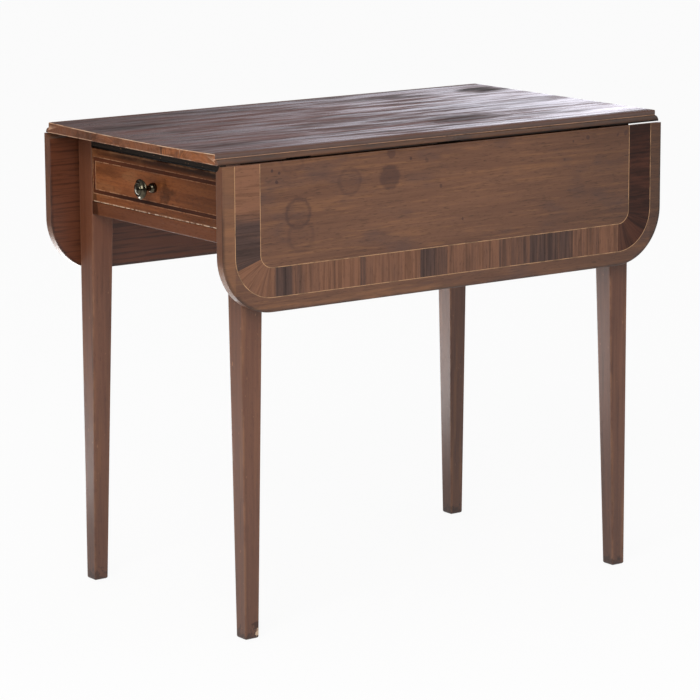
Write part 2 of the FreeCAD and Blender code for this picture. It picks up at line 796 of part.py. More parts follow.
def knob():
    """The turned knob with its collar, and the bolt and nut that hold it. Returns the bolt."""
    face = -end_x
    collar_end = face - size.knob_collar_height
    neck_end = collar_end - size.knob_neck_length
    flare_end = neck_end - size.knob_flare_length
    rim_end = flare_end - size.knob_rim
    tip = rim_end - size.knob_dome
    bolt_radius = size.knob_bolt_radius
    head = size.knob_head_radius
    dome_radius = (head * head + size.knob_dome * size.knob_dome) / (size.knob_dome * 2)
    socket_end = neck_end - size.knob_socket_depth
    head_outline = [
        (collar_end, bolt_radius, None),
        (collar_end, size.knob_neck_radius, None),
        (neck_end, size.knob_neck_radius, None),
        (flare_end, head, None),
        (rim_end, head, (tip + dome_radius, as_size(0), dome_radius)),
        (tip, as_size(0), None),
        (socket_end, as_size(0), None),
        (socket_end, bolt_radius, None),
    ]
    shoulder_x = collar_end + size.knob_collar_bevel
    collar_outline = [
        (face, bolt_radius, None),
        (face, size.knob_collar_radius, None),
        (shoulder_x, size.knob_collar_radius, None),
        (collar_end, size.knob_neck_radius, None),
        (collar_end, bolt_radius, None),
    ]
    keep("drawer_knob", revolved("knob_head", head_outline, size.knob_offset, knob_level))
    keep("knob_collar", revolved("knob_collar", collar_outline, size.knob_offset, knob_level))
    bolt_length = front_back + size.knob_bolt_grip - socket_end
    bolt_base = (socket_end, size.knob_offset, knob_level)
    bolt = keep("knob_bolt", rod("bolt", bolt_radius, bolt_base, bolt_length, ALONG_X))
    nut = doc.addObject("Part::Prism", "nut")
    nut.Polygon = NUT_SIDES
    bind(nut, "Circumradius", size.knob_nut_width / 2)
    bind(nut, "Height", size.knob_nut_height)
    place(nut, (front_back, size.knob_offset, knob_level), ALONG_X)
    keep("knob_nut", cut("knob_nut", nut, [bolt]))
    return bolt


def check():
    """Stops if an object failed or a sub-part is empty or broken."""
    for item in doc.Objects:
        if "Invalid" in item.State or "Error" in item.State:
            raise RuntimeError(f"{item.Label} failed: {item.State}")
    for name, item in nodes.items():
        if item.Shape.isNull() or not item.Shape.isValid() or not item.Shape.Solids:
            raise RuntimeError(f"{name} has no valid solid")


def write():
    os.makedirs("parts", exist_ok=True)
    for name, item in nodes.items():
        item.Shape.exportStep(f"parts/{name}.step")


leaves_and_top()
frame()
fly_rail()
drawer()
doc.recompute()
check()
write()
print(f"{len(nodes)} sub-parts")
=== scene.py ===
"""Pembroke table: the looks of its pieces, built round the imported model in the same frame, in metres.

X runs along the leaves with the drawer at the -X end, Y runs across from the near leaf to the far leaf,
and Z is up. Each new piece is a skin over rings of points that numpy works out, and each finish is a node
tree.
"""
import math

import bmesh
import bpy
import numpy as np
from bpy.props import FloatProperty, FloatVectorProperty, PointerProperty
from mathutils import Matrix, Vector


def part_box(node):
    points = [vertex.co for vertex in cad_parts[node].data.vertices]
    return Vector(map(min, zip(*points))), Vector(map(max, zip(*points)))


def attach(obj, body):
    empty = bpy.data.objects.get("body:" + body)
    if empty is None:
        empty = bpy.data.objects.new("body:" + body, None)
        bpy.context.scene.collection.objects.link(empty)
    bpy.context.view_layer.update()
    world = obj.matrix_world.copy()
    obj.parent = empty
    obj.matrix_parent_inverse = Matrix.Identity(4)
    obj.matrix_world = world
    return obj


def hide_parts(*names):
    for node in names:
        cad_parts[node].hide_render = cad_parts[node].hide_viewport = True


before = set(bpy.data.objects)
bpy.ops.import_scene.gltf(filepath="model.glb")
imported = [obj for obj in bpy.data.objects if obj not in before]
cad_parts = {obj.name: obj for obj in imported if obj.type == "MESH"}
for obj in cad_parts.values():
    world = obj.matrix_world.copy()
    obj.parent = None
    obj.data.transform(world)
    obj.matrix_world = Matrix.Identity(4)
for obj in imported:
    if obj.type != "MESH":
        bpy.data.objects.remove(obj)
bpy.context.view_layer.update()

bl_info = {
    "name": "Pembroke table",
    "version": (1, 0, 0),
    "blender": (4, 5, 0),
    "location": "View3D > Sidebar > Table",
    "description": "Builds the boards, inlay, legs, drawer front and knob of a pembroke table",
    "category": "Add Mesh",
}

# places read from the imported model
BOARD_LOW, BOARD_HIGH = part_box("top_wide_board")
LEAF_LOW, LEAF_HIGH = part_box("leaf_board_far")
LEG_LOW, LEG_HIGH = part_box("leg_back_far")
FRONT_LOW, FRONT_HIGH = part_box("drawer_front")
PIN_LOW, PIN_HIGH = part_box("hinge_pins_far")
HEAD_LOW, HEAD_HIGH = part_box("drawer_knob")
COLLAR_LOW, COLLAR_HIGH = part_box("knob_collar")

HALF_TOP = BOARD_HIGH.x
TOP_HEIGHT = BOARD_HIGH.z
UNDERSIDE = BOARD_LOW.z
TOP_THICK = TOP_HEIGHT - UNDERSIDE
SEAM = -BOARD_LOW.y
SHOULDER = (PIN_LOW.y + PIN_HIGH.y) / 2
OVOLO = BOARD_HIGH.y - SHOULDER
HALF_LEAF = LEAF_HIGH.x
LEAF_FOOT = LEAF_LOW.z
LEAF_TOP = LEAF_HIGH.z
LEAF_IN = LEAF_LOW.y
LEAF_OUT = LEAF_HIGH.y
LEG_SQUARE = LEG_HIGH.x - LEG_LOW.x
# half the clear width between the legs, which the drawer's rails fill
RAIL_REACH = LEG_LOW.y
APRON_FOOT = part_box("side_rail_far")[0].z
KNOB_HEIGHT = (HEAD_LOW.z + HEAD_HIGH.z) / 2
KNOB_ACROSS = (HEAD_LOW.y + HEAD_HIGH.y) / 2
KNOB_RADIUS = (HEAD_HIGH.z - HEAD_LOW.z) / 2
COLLAR_RADIUS = (COLLAR_HIGH.z - COLLAR_LOW.z) / 2

SIDES = {"near": -1, "far": 1}
ENDS = {"drawer": -1, "back": 1}


def paint(red, green, blue):
    """A colour named as it looks on a screen, 0 to 255, in the linear values that shaders use."""
    shown = np.array((red, green, blue)) / 255
    linear = np.where(shown <= 0.04045, shown / 12.92, ((shown + 0.055) / 1.055) ** 2.4)
    return tuple(float(value) for value in linear)


def toned(shade, share):
    """A colour with each of its parts multiplied by share."""
    return tuple(share * part for part in shade)


def length(name, description, default):
    return FloatProperty(name=name, description=description, default=default, unit="LENGTH", precision=5)


def factor(name, description, default):
    return FloatProperty(name=name, description=description, default=default, min=0, max=1, subtype="FACTOR")


def angle(name, description, degrees):
    return FloatProperty(name=name, description=description, default=math.radians(degrees), subtype="ANGLE")


def power(name, description, default):
    return FloatProperty(name=name, description=description, default=default, unit="POWER")


def glow(name, description, default):
    return FloatProperty(name=name, description=description, default=default, min=0)


def colour(name, description, *shown):
    return FloatVectorProperty(name=name, description=description, default=paint(*shown), size=3,
                               min=0, max=1, subtype="COLOR")


class TableShape(bpy.types.PropertyGroup):
    """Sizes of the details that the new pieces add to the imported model."""

    top_arris: length("Top arris", "Radius of the worn upper edge of the top", 0.0016)
    end_arris: length("End arris", "Radius of the worn ends of the top", 0.0014)
    seam_arris: length("Seam arris", "Radius of the edges where the two boards meet", 0.0005)
    top_dish: length("Top dish", "How far the top has worn hollow at the drawer end", 0.0030)
    hinge_spacing: length("Hinge spacing", "Distance between the middles of neighbouring hinges", 0.2700)
    hinge_room: length("Hinge room", "Length of the recess under the top for a hinge", 0.0428)
    flap_length: length("Flap length", "How far a hinge's flap reaches under the top from its pin", 0.0270)
    flap_room: length("Flap room", "Depth of the recess for a flap", 0.0020)
    barrel_room: length("Barrel room", "Radius of the groove for a hinge's barrel", 0.0044)
    cove_gap: length("Cove gap", "Clearance between the top's round and the leaf's hollow", 0.0010)
    leaf_corner: length("Leaf corner", "Radius of a leaf's lower corners", 0.0850)
    leaf_arris: length("Leaf arris", "Radius of a leaf's outer edge", 0.0014)
    inlay_proud: length("Inlay height", "How far a leaf's inlay stands above its boards", 0.00015)
    string_inset: length("String inset", "Distance from a leaf's edge to its outer line", 0.0210)
    string_width: length("String width", "Width of a boxwood line", 0.0010)
    band_width: length("Band width", "Width of the crossband", 0.0420)
    leg_foot: length("Leg foot", "Thickness of a leg at the floor", 0.0232)
    leg_arris: length("Leg arris", "Radius of a leg's edges", 0.0012)
    foot_arris: length("Foot arris", "Radius of the worn edge under a foot", 0.0032)
    front_arris: length("Drawer arris", "Radius of the drawer front's edges", 0.0010)
    rail_arris: length("Rail arris", "Radius of the rails' edges", 0.0008)
    box_arris: length("Inner arris", "Radius of the inner pieces' edges", 0.0005)


class TableFinish(bpy.types.PropertyGroup):
    """Colours and gloss of the finishes."""

    top_light: colour("Top, light", "Lighter streaks of the top", 112, 62, 48)
    top_dark: colour("Top, dark", "Darker streaks of the top", 58, 30, 24)
    end_grain: colour("End grain", "Ends of the top's boards", 152, 90, 50)
    leaf_light: colour("Leaf, light", "Faded wood of the leaves", 126, 86, 62)
    leaf_dark: colour("Leaf, dark", "Darker grain of the leaves", 92, 58, 41)
    leaf_gold: colour("Leaf, golden", "Golden streaks of the leaves, legs and drawer front", 150, 102, 66)
    leaf_cloud: colour("Leaf, clouds", "Greyer patches of the leaves", 84, 60, 54)
    leaf_inside: colour("Leaf, inside", "Redder wood of the leaves' inner faces", 98, 52, 32)
    leaf_stain: colour("Leaf stain", "Old rings and spots on the near leaf", 60, 36, 34)
    band_light: colour("Crossband, light", "Lightest veneers of the crossband", 136, 94, 71)
    band_dark: colour("Crossband, dark", "Darkest veneers of the crossband", 82, 62, 56)
    band_red: colour("Crossband, red", "Redder dark veneers at the back end", 73, 36, 23)
    boxwood: colour("Boxwood", "Pale inlaid lines", 200, 154, 112)
    dark_line: colour("Dark line", "Dark inlaid line of the drawer", 60, 30, 17)
    drawer_line: colour("Drawer line", "Worn pale lines of the drawer front", 204, 150, 112)
    drawer_light: colour("Drawer, light", "Lighter wood of the drawer front", 158, 94, 54)
    drawer_dark: colour("Drawer, dark", "Darker grain of the drawer front", 106, 58, 33)
    black_rail: colour("Black rail", "Blackened rail above the drawer", 60, 51, 45)
    frame_light: colour("Frame, light", "Lighter wood of the legs and rails", 122, 80, 60)
    frame_dark: colour("Frame, dark", "Darker grain of the legs and rails", 86, 52, 38)
    oak_light: colour("Oak, light", "Lighter wood of the drawer's box", 176, 140, 98)
    oak_dark: colour("Oak, dark", "Darker grain of the drawer's box", 128, 94, 60)
    carcass_light: colour("Carcass, light", "Lighter wood of the hidden rails", 142, 104, 70)
    carcass_dark: colour("Carcass, dark", "Darker grain of the hidden rails", 98, 66, 42)
    worn_wood: colour("Worn edge", "Pale wood where edges have rubbed", 176, 128, 92)
    rubbed_line: colour("Rubbed line", "Line where the top's step and ends have rubbed", 196, 154, 124)
    # dulled polish along the top's long edges; its grey also paints the sheen on the step
    step_tone: colour("Top's step", "Dulled polish along the top's long edges", 114, 92, 84)
    chipped: colour("Chipped edge", "Bare wood where edges have chipped", 214, 184, 156)
    iron: colour("Iron", "Hinges and screws", 74, 66, 60)
    bronze: colour("Bronze", "Darkened metal of the knob", 86, 80, 66)
    # painted highlight: the bright spot on the knob's face
    rubbed_bronze: colour("Rubbed bronze", "Bright spot on the knob's face", 240, 232, 214)
    steel: colour("Steel", "Bolt and nut of the knob", 120, 116, 110)
    top_gloss: factor("Top roughness", "Roughness of the polished top", 0.22)
    wood_gloss: factor("Wood roughness", "Roughness of the waxed wood", 0.40)
    raw_gloss: factor("Raw roughness", "Roughness of the unpolished inner wood", 0.75)


class TableStage(bpy.types.PropertyGroup):
    """The camera, the lights and the floor."""

    lens: FloatProperty(name="Lens", description="Focal length", default=169.891, unit="CAMERA")
    camera_place: FloatVectorProperty(name="Camera", description="Where the camera stands", size=3,
                                      default=(-2.94651, -4.04353, 1.34410), subtype="TRANSLATION",
                                      unit="LENGTH")
    yaw: angle("Yaw", "Camera turned from +Y towards +X", 35.970)
    pitch: angle("Pitch", "Camera tilted down", 11.219)
    roll: angle("Roll", "Camera rolled", -0.279)
    key_power: power("Key light", "Power of the large light at the left", 164.0)
    bounce_power: power("Bounce light", "Power of the light low on the floor behind", 12.5)
    window_glow: glow("Window", "Brightness of the window that the top mirrors", 4.6)
    sky_low: glow("Sky, low", "Brightness of the room near the horizon", 0.10)
    sky_high: glow("Sky, high", "Brightness of the room overhead", 1.1)
    floor_white: colour("Floor", "Colour of the floor", 244, 244, 244)


def finish_settings():
    return bpy.context.scene.table_finish


def shape_settings():
    return bpy.context.scene.table_shape


class Shader:
    """A node tree that is written call by call. Each call adds a node and gives back its output."""

    def __init__(self, name):
        self.material = bpy.data.materials.new(name)
        self.material.use_nodes = True
        self.tree = self.material.node_tree
        self.tree.nodes.clear()

    def node(self, kind, inputs=(), **settings):
        node = self.tree.nodes.new("ShaderNode" + kind)
        for key, value in settings.items():
            setattr(node, key, value)
        for key, value in dict(inputs).items():
            self.feed(node.inputs[key], value)
        return node

    def feed(self, socket, value):
        if isinstance(value, bpy.types.NodeSocket):
            self.tree.links.new(value, socket)
        elif socket.type == "RGBA":
            socket.default_value = (*value, 1.0)
        else:
            socket.default_value = value

    def position(self):
        return self.node("TexCoord").outputs["Object"]

    def attribute(self, name, output="Fac"):
        return self.node("Attribute", attribute_name=name).outputs[output]

    def parts(self, vector):
        return self.node("SeparateXYZ", {"Vector": vector}).outputs

    def joined(self, **parts):
        inputs = {axis.upper(): value for axis, value in parts.items()}
        return self.node("CombineXYZ", inputs).outputs[0]

    def stretch(self, vector, scale):
        return self.node("Mapping", {"Vector": vector, "Scale": scale}).outputs[0]

    def noise(self, vector, detail=2.0, roughness=0.5):
        inputs = {"Vector": vector, "Scale": 1.0, "Detail": detail, "Roughness": roughness}
        return self.node("TexNoise", inputs).outputs[0]

    def mottle(self, scale, detail=3.0, roughness=0.6):
        """Noise over the piece's own place, with scale cells to the metre along X, Y and Z."""
        return self.noise(self.stretch(self.position(), scale), detail, roughness)

    def math(self, operation, first, second=0.0):
        return self.node("Math", {0: first, 1: second}, operation=operation).outputs[0]

    def plus(self, first, second):
        return self.math("ADD", first, second)

    def minus(self, first, second):
        return self.math("SUBTRACT", first, second)

    def times(self, first, *others):
        for other in others:
            first = self.math("MULTIPLY", first, other)
        return first

    def off(self, value, place):
        """How far value is from place, to either side."""
        return self.math("ABSOLUTE", self.minus(value, place))

    def between(self, value, low, high, start=0.0, stop=1.0):
        """0 to 1 as value goes from low to high, eased at both ends and held outside them."""
        inputs = {"Value": value, "From Min": low, "From Max": high, "To Min": start, "To Max": stop}
        return self.node("MapRange", inputs, interpolation_type="SMOOTHSTEP").outputs[0]

    def distance(self, first, second):
        return self.node("VectorMath", {0: first, 1: second}, operation="DISTANCE").outputs["Value"]

    def mix(self, amount, first, second, blend="MIX"):
        node = self.node("Mix", data_type="RGBA", blend_type=blend)
        for index, value in ((0, amount), (6, first), (7, second)):
            self.feed(node.inputs[index], value)
        return node.outputs[2]

    def bump(self, height, strength, distance):
        return self.node("Bump", {"Height": height, "Strength": strength, "Distance": distance}).outputs[0]

    def surface(self, inputs):
        body = self.node("BsdfPrincipled", inputs)
        out = self.node("OutputMaterial")
        self.tree.links.new(body.outputs[0], out.inputs["Surface"])
        return self.material


class Wood(Shader):
    """Wood: long streaks, a broader drift of tone, and short dark pores, all drawn out along the grain.

    tone and streak are the cells to the metre of the drift and the streaks, counted across the grain.
    """

    PORE_CELLS = (110.0, 900.0, 900.0)
    SWAY_CELLS = (2.2, 9.0, 9.0)
    SWAY = 0.012
    DRIFT_SHARE = 0.55

    def __init__(self, name, light, dark, grain, tone=6.0, streak=170.0, contrast=1.0):
        super().__init__(name)
        self.along = self.grain(grain) if grain in "XYZ" else self.attribute(grain, "Vector")
        sway = self.noise(self.stretch(self.along, self.SWAY_CELLS), 1.0)
        aside = self.times(self.minus(sway, 0.5), self.SWAY)
        aside = self.joined(y=aside, z=aside)
        swayed = self.node("VectorMath", {0: self.along, 1: aside}, operation="ADD").outputs[0]
        drift = self.noise(self.stretch(swayed, (1.3, tone, tone)), 3.0, 0.55)
        self.streaks = self.noise(self.stretch(swayed, (5.0, streak, streak)), 4.0, 0.62)
        dashes = self.noise(self.stretch(swayed, self.PORE_CELLS), 1.0, 0.5)
        self.pores = self.between(dashes, 0.60, 0.74)
        blend = self.plus(self.times(drift, self.DRIFT_SHARE), self.times(self.streaks, 1 - self.DRIFT_SHARE))
        spread = 0.20 / contrast
        self.colour = self.mix(self.between(blend, 0.5 - spread, 0.5 + spread), dark, light)
        self.shade(self.pores, 0.32)
        self.height = self.minus(self.times(self.streaks, 0.5), self.pores)

    def grain(self, along):
        """Object coordinates turned so that the wood's length comes first."""
        axes = self.parts(self.position())
        first, second, third = {"X": (0, 1, 2), "Y": (1, 2, 0), "Z": (2, 0, 1)}[along]
        return self.joined(x=axes[first], y=axes[second], z=axes[third])

    def shade(self, *masks):
        """Darken the wood by the product of the masks, where 1 is black."""
        kept = self.minus(1.0, self.times(*masks))
        grey = self.node("CombineColor", {0: kept, 1: kept, 2: kept}).outputs[0]
        self.colour = self.mix(1.0, self.colour, grey, "MULTIPLY")

    def tint(self, other, *masks):
        """Turn the wood to another colour by the product of the masks, where 1 is that colour alone."""
        self.colour = self.mix(self.times(*masks), self.colour, other)

    def figure(self, scale, detail=3.0, roughness=0.6):
        """Noise with scale cells to the metre along the grain and across it."""
        return self.noise(self.stretch(self.along, scale), detail, roughness)

    def patches(self, scale, low, high, amount=1.0, detail=3.0):
        """Soft patches that follow the grain: 0 to amount as a noise goes from low to high."""
        return self.between(self.figure(scale, detail, 0.58), low, high, 0.0, amount)

    def wear(self, pale, amount, along=32.0, low=0.36):
        """Rub the edges pale, in patches."""
        patches = self.between(self.figure((along, 60.0, 60.0)), low, 0.66, 0.0, amount)
        self.tint(pale, self.attribute("wear"), patches)

    def done(self, gloss, depth=0.00025, strength=0.35, specular=0.5, dull=0.0):
        """The finished material. Roughness is the gloss, a little of the streaks, and dull for lost wax."""
        rough = self.plus(gloss - 0.06, self.times(self.streaks, 0.12))
        inputs = {"Base Color": self.colour, "Roughness": self.plus(rough, dull),
                  "Specular IOR Level": specular, "Normal": self.bump(self.height, strength, depth)}
        return self.surface(inputs)


# how much the duller finishes mirror, where 0.5 is plain wax
BAND_SHEEN = 0.24
DRAWER_SHEEN = 0.15
RAIL_SHEEN = 0.12
DARK_SHEEN = 0.10


def made_once(make):
    """A finish that several pieces share is made by the first of them."""
    def fetch():
        return bpy.data.materials.get(make.__name__) or make()
    return fetch


# dark marks on the top, partly stains and partly painted shade where the window's reflection breaks off:
# place, reach and depth of colour
TOP_MARKS = (
    ((-0.350, 0.115), 0.070, 0.75),
    ((-0.300, 0.020), 0.045, 0.45),
    ((-0.310, -0.145), 0.060, 0.35),
    ((0.120, -0.110), 0.065, 0.60),
    ((0.200, 0.150), 0.060, 0.30),
    ((0.366, 0.140), 0.062, 0.80),
)
# how far across the top a fine crack runs at its back end, and a crack in its end by the drawer
CRACK_LINE = -0.055
END_CRACK = -0.088
# the middle of the tree for each board of the top, across and up, and its growth rings to the metre
WIDE_HEART = (0.07, UNDERSIDE - 0.045)
NARROW_HEART = (-0.185, UNDERSIDE - 0.030)
GROWTH_RINGS = 330.0


def end_grain(wood, y, z):
    """Colour of the boards' ends: growth rings are bands of a noise over the distance from a tree's heart."""
    finish = finish_settings()
    face = wood.joined(y=y, z=z)
    away = [wood.distance(face, (0.0, *heart)) for heart in (WIDE_HEART, NARROW_HEART)]
    wide, narrow = [wood.noise(wood.joined(x=wood.times(reach, GROWTH_RINGS)), 3.0, 0.6) for reach in away]
    past_seam = wood.between(y, -SEAM + 0.0002, -SEAM - 0.0002)
    rings = wood.plus(wide, wood.times(past_seam, wood.minus(narrow, wide)))
    grain = wood.mix(wood.between(rings, 0.36, 0.62), toned(finish.end_grain, 0.58), finish.end_grain)
    for start, stop, amount in ((END_CRACK, END_CRACK + 0.001, 0.4), (0.04, 0.16, 0.35)):
        grain = wood.mix(wood.between(y, start, stop, 0.0, amount), grain, finish.frame_dark)
    grime = wood.patches((30.0, 30.0, 90.0), 0.46, 0.64, 0.65)
    return wood.mix(grime, grain, toned(finish.end_grain, 0.30))


def joint_tones(wood, x, out, z):
    """Tones of the top's rule joint: a dulled step with a painted grey sheen, darker at its foot, over a
    browner round, which darkens towards the back end, under the step and down to a painted shadow line in the
    gap.
    Gives back the mask of the round."""
    finish = finish_settings()
    foot = UNDERSIDE + OVOLO
    uneven = wood.patches((14.0, 40.0, 40.0), 0.30, 0.60)
    step = wood.times(wood.between(out, SHOULDER - 0.0007, SHOULDER - 0.0003),
                      wood.between(z, TOP_HEIGHT - 0.0008, TOP_HEIGHT - 0.0022))
    # painted sheen on the step, in the grey of dulled polish
    wood.tint(finish.step_tone, step, 0.85)
    wood.shade(step, uneven, 0.15)
    wood.shade(step, wood.between(z, foot + 0.0050, foot), 0.35)
    round_edge = wood.between(out, SHOULDER + 0.0002, SHOULDER + 0.0012)
    wood.tint(finish.leaf_light, round_edge, uneven, 0.8)
    wood.shade(round_edge, wood.between(z, foot - 0.0048, foot - 0.0020, 0.10, 0.30))
    wood.shade(round_edge, wood.between(x, -0.2, 0.4, 0.14, 0.40))
    wood.shade(round_edge, wood.between(z, UNDERSIDE + 0.0040, UNDERSIDE + 0.0010), 0.30)
    # painted shadow line in the gap of the joint, wider towards the back end
    wide = wood.between(x, -0.24, -0.12, 0.0008, 0.0020)
    gap = wood.between(wood.minus(z, wide), UNDERSIDE + 0.0005, UNDERSIDE - 0.0003)
    wood.shade(round_edge, gap, 0.80)
    return round_edge


@made_once
def polished_top():
    """Dark polished top: long streaks in its colour and gloss, ringed end grain, a grimy seam, a browner
    round below a dulled step with a painted sheen, dark marks that are partly stains and partly painted
    shade, cracks, and pale rubbed edges."""
    finish = finish_settings()
    wood = Wood("polished_top", finish.top_light, finish.top_dark, "X", tone=11.0, streak=90.0, contrast=0.7)
    x, y, z = wood.parts(wood.position())
    out = wood.off(y, 0.0)
    from_middle = wood.off(x, 0.0)
    from_seam = wood.off(y, -SEAM)
    wood.shade(wood.patches((7.0, 48.0, 48.0), 0.48, 0.66, detail=5.0), 0.5)
    round_edge = joint_tones(wood, x, out, z)
    end = wood.between(from_middle, HALF_TOP - 0.0012, HALF_TOP - 0.0005)
    wood.tint(end_grain(wood, y, z), end, wood.minus(1.0, wood.times(round_edge, 0.7)))
    wood.shade(wood.between(from_seam, 0.0004, 0.0012, 0.8, 0.0))
    split = wood.between(wood.off(y, END_CRACK), 0.0006, 0.0022, 0.85, 0.0)
    wood.shade(split, wood.between(x, -HALF_TOP + 0.030, -HALF_TOP + 0.002))
    dull = wood.plus(wood.patches((7.0, 55.0, 55.0), 0.40, 0.64, 0.36, detail=5.0),
                     wood.patches((4.0, 140.0, 140.0), 0.46, 0.60, 0.14, detail=4.0))
    dull = wood.times(dull, wood.between(x, 0.05, 0.35, 1.0, 0.5))
    strip = wood.times(wood.between(out, SHOULDER - 0.016, SHOULDER - 0.007),
                       wood.between(z, TOP_HEIGHT - 0.0030, TOP_HEIGHT - 0.0020))
    wood.tint(finish.step_tone, strip, wood.minus(0.6, wood.times(end, 0.6)))
    dull = wood.plus(dull, wood.times(strip, 0.25))
    flattened = (0.5, 1.0, 0.0)
    for (along, across), reach, amount in TOP_MARKS:
        away = wood.distance(wood.stretch(wood.position(), flattened), (flattened[0] * along, across, 0.0))
        away = wood.plus(away, wood.patches((9.0, 30.0, 30.0), 0.3, 0.7, 0.03))
        mark = wood.between(away, reach * 0.3, reach, amount, 0.0)
        # the marks darken the colour, partly as stains and partly as painted shade, and dull the gloss
        wood.shade(mark)
        dull = wood.plus(dull, wood.times(mark, 0.5))
    wavy = wood.plus(y, wood.patches((3.0, 0.0, 0.0), 0.3, 0.7, 0.004))
    crack = wood.between(wood.off(wavy, CRACK_LINE), 0.0004, 0.0028, 0.7, 0.0)
    wood.shade(crack, wood.between(x, 0.10, 0.20))
    wood.wear(finish.rubbed_line, 0.95, along=60.0, low=0.12)
    bare = wood.times(
        wood.between(wood.mottle((40.0, 30.0, 40.0)), 0.40, 0.56, 0.0, 0.75),
        wood.between(from_middle, HALF_TOP - 0.004, HALF_TOP - 0.003),
        wood.between(z, TOP_HEIGHT - 0.0040, TOP_HEIGHT - 0.0030),
        wood.between(out, SHOULDER - 0.0010, SHOULDER - 0.0025),
        wood.between(from_seam, 0.001, 0.003),
    )
    wood.tint(finish.chipped, bare, wood.attribute("wear"))
    low_arris = wood.times(end, wood.between(z, UNDERSIDE + 0.0020, UNDERSIDE + 0.0010),
                           wood.between(out, SHOULDER + 0.004, SHOULDER))
    wood.tint(finish.rubbed_line, low_arris, wood.patches((40.0, 30.0, 40.0), 0.36, 0.56, 0.8))
    ripple = wood.figure((6.0, 40.0, 40.0), 4.0)
    wood.height = wood.plus(wood.times(wood.height, 0.4), wood.times(ripple, 1.6))
    dull = wood.plus(dull, wood.times(end, 0.4))
    polish = wood.minus(0.5, wood.times(strip, 0.40))
    return wood.done(finish.top_gloss, depth=0.0003, strength=0.5, specular=polish, dull=dull)


# marks on the near leaf: place along and up, radius, width of the ring, depth of colour
STAIN_RINGS = (
    (-0.2765, 0.6209, 0.0205, 0.0050, 0.52),
    (-0.2720, 0.5880, 0.0215, 0.0060, 0.26),
    (-0.1854, 0.6594, 0.0185, 0.0050, 0.30),
    (-0.2860, 0.7000, 0.0200, 0.0050, 0.26),
)
# place along and up, radius, depth of colour
STAIN_SPOTS = (
    (-0.1138, 0.6588, 0.0215, 0.55),
    (-0.1110, 0.6936, 0.0085, 0.50),
    (-0.3213, 0.6858, 0.0020, 0.75),
    (-0.3093, 0.6819, 0.0026, 0.75),
    (-0.3129, 0.6693, 0.0030, 0.80),
    (-0.0756, 0.6833, 0.0024, 0.70),
    (-0.0206, 0.6372, 0.0026, 0.60),
    (-0.0464, 0.6778, 0.0040, 0.35),
    (0.0200, 0.5853, 0.0026, 0.60),
    (0.2308, 0.6823, 0.0026, 0.65),
    (0.2596, 0.6859, 0.0040, 0.60),
    (0.2137, 0.6566, 0.0030, 0.45),
    (0.3192, 0.6853, 0.0034, 0.60),
    (0.3347, 0.6874, 0.0044, 0.60),
)
# where a leaf's outer line runs at its two ends
END_LINE = 0.385


def stains(wood):
    """A ring is dark where the distance from its centre is near its radius, and a spot where it is less."""
    stain = finish_settings().leaf_stain
    place = wood.position()
    ragged = wood.times(wood.minus(wood.mottle((120.0, 120.0, 120.0)), 0.5), 0.008)

    def reach(x, z):
        return wood.plus(wood.distance(place, (x, -LEAF_OUT, z)), ragged)

    for x, z, radius, width, amount in STAIN_RINGS:
        away = reach(x, z)
        wood.tint(stain, wood.between(wood.off(away, radius), 0.0, width, amount, 0.0))
        wood.tint(stain, wood.between(away, radius * 0.8, radius, amount * 0.25, 0.0))
    for x, z, radius, amount in STAIN_SPOTS:
        wood.tint(stain, wood.between(reach(x, z), radius * 0.7, radius, amount, 0.0))


@made_once
def faded_leaf():
    """Faded wood of the leaves: golden streaks and greyer clouds, old rings and spots on the near one,
    painted shade that darkens them away from the drawer, redder inside, and grimy along the edges."""
    finish = finish_settings()
    wood = Wood("faded_leaf", finish.leaf_light, finish.leaf_dark, "X", tone=7.0, streak=130.0, contrast=0.8)
    wood.tint(finish.leaf_gold, wood.patches((2.6, 75.0, 75.0), 0.52, 0.70, 0.40))
    wood.tint(finish.leaf_gold, wood.patches((14.0, 260.0, 260.0), 0.54, 0.68, 0.35))
    wood.shade(wood.patches((18.0, 300.0, 300.0), 0.54, 0.68), 0.16)
    wood.tint(finish.leaf_cloud, wood.patches((11.0, 26.0, 26.0), 0.50, 0.72, 0.55))
    wood.shade(wood.patches((60.0, 520.0, 520.0), 0.60, 0.70, detail=1.0), 0.28)
    x, y, z = wood.parts(wood.position())
    # painted shade: the leaves grow darker towards the back end, away from the light
    wood.shade(wood.between(x, 0.02, 0.42, 0.0, 0.22))
    inside = wood.between(wood.off(y, 0.0), LEAF_IN + 0.0006, LEAF_IN + 0.0002)
    wood.tint(finish.leaf_inside, inside, 0.9)
    wood.shade(inside, wood.patches((8.0, 240.0, 240.0), 0.46, 0.64), 0.5)
    drawer_margin = wood.between(x, -END_LINE + 0.001, -END_LINE - 0.001)
    wood.tint(finish.leaf_gold, drawer_margin, wood.between(y, 0.0, -0.1, 0.0, 0.3))
    wood.shade(wood.between(x, END_LINE - 0.001, END_LINE + 0.001), 0.25)
    stains(wood)
    end = wood.between(wood.off(x, 0.0), HALF_LEAF - 0.0012, HALF_LEAF - 0.0006)
    wood.tint(finish.leaf_inside, end, 0.5)
    wood.shade(end, 0.12)
    grimy_edge = wood.times(wood.attribute("wear"), wood.patches((20.0, 40.0, 40.0), 0.25, 0.55))
    wood.shade(grimy_edge, wood.between(z, 0.60, 0.68, 0.55, 0.15))
    return wood.done(finish.wood_gloss)


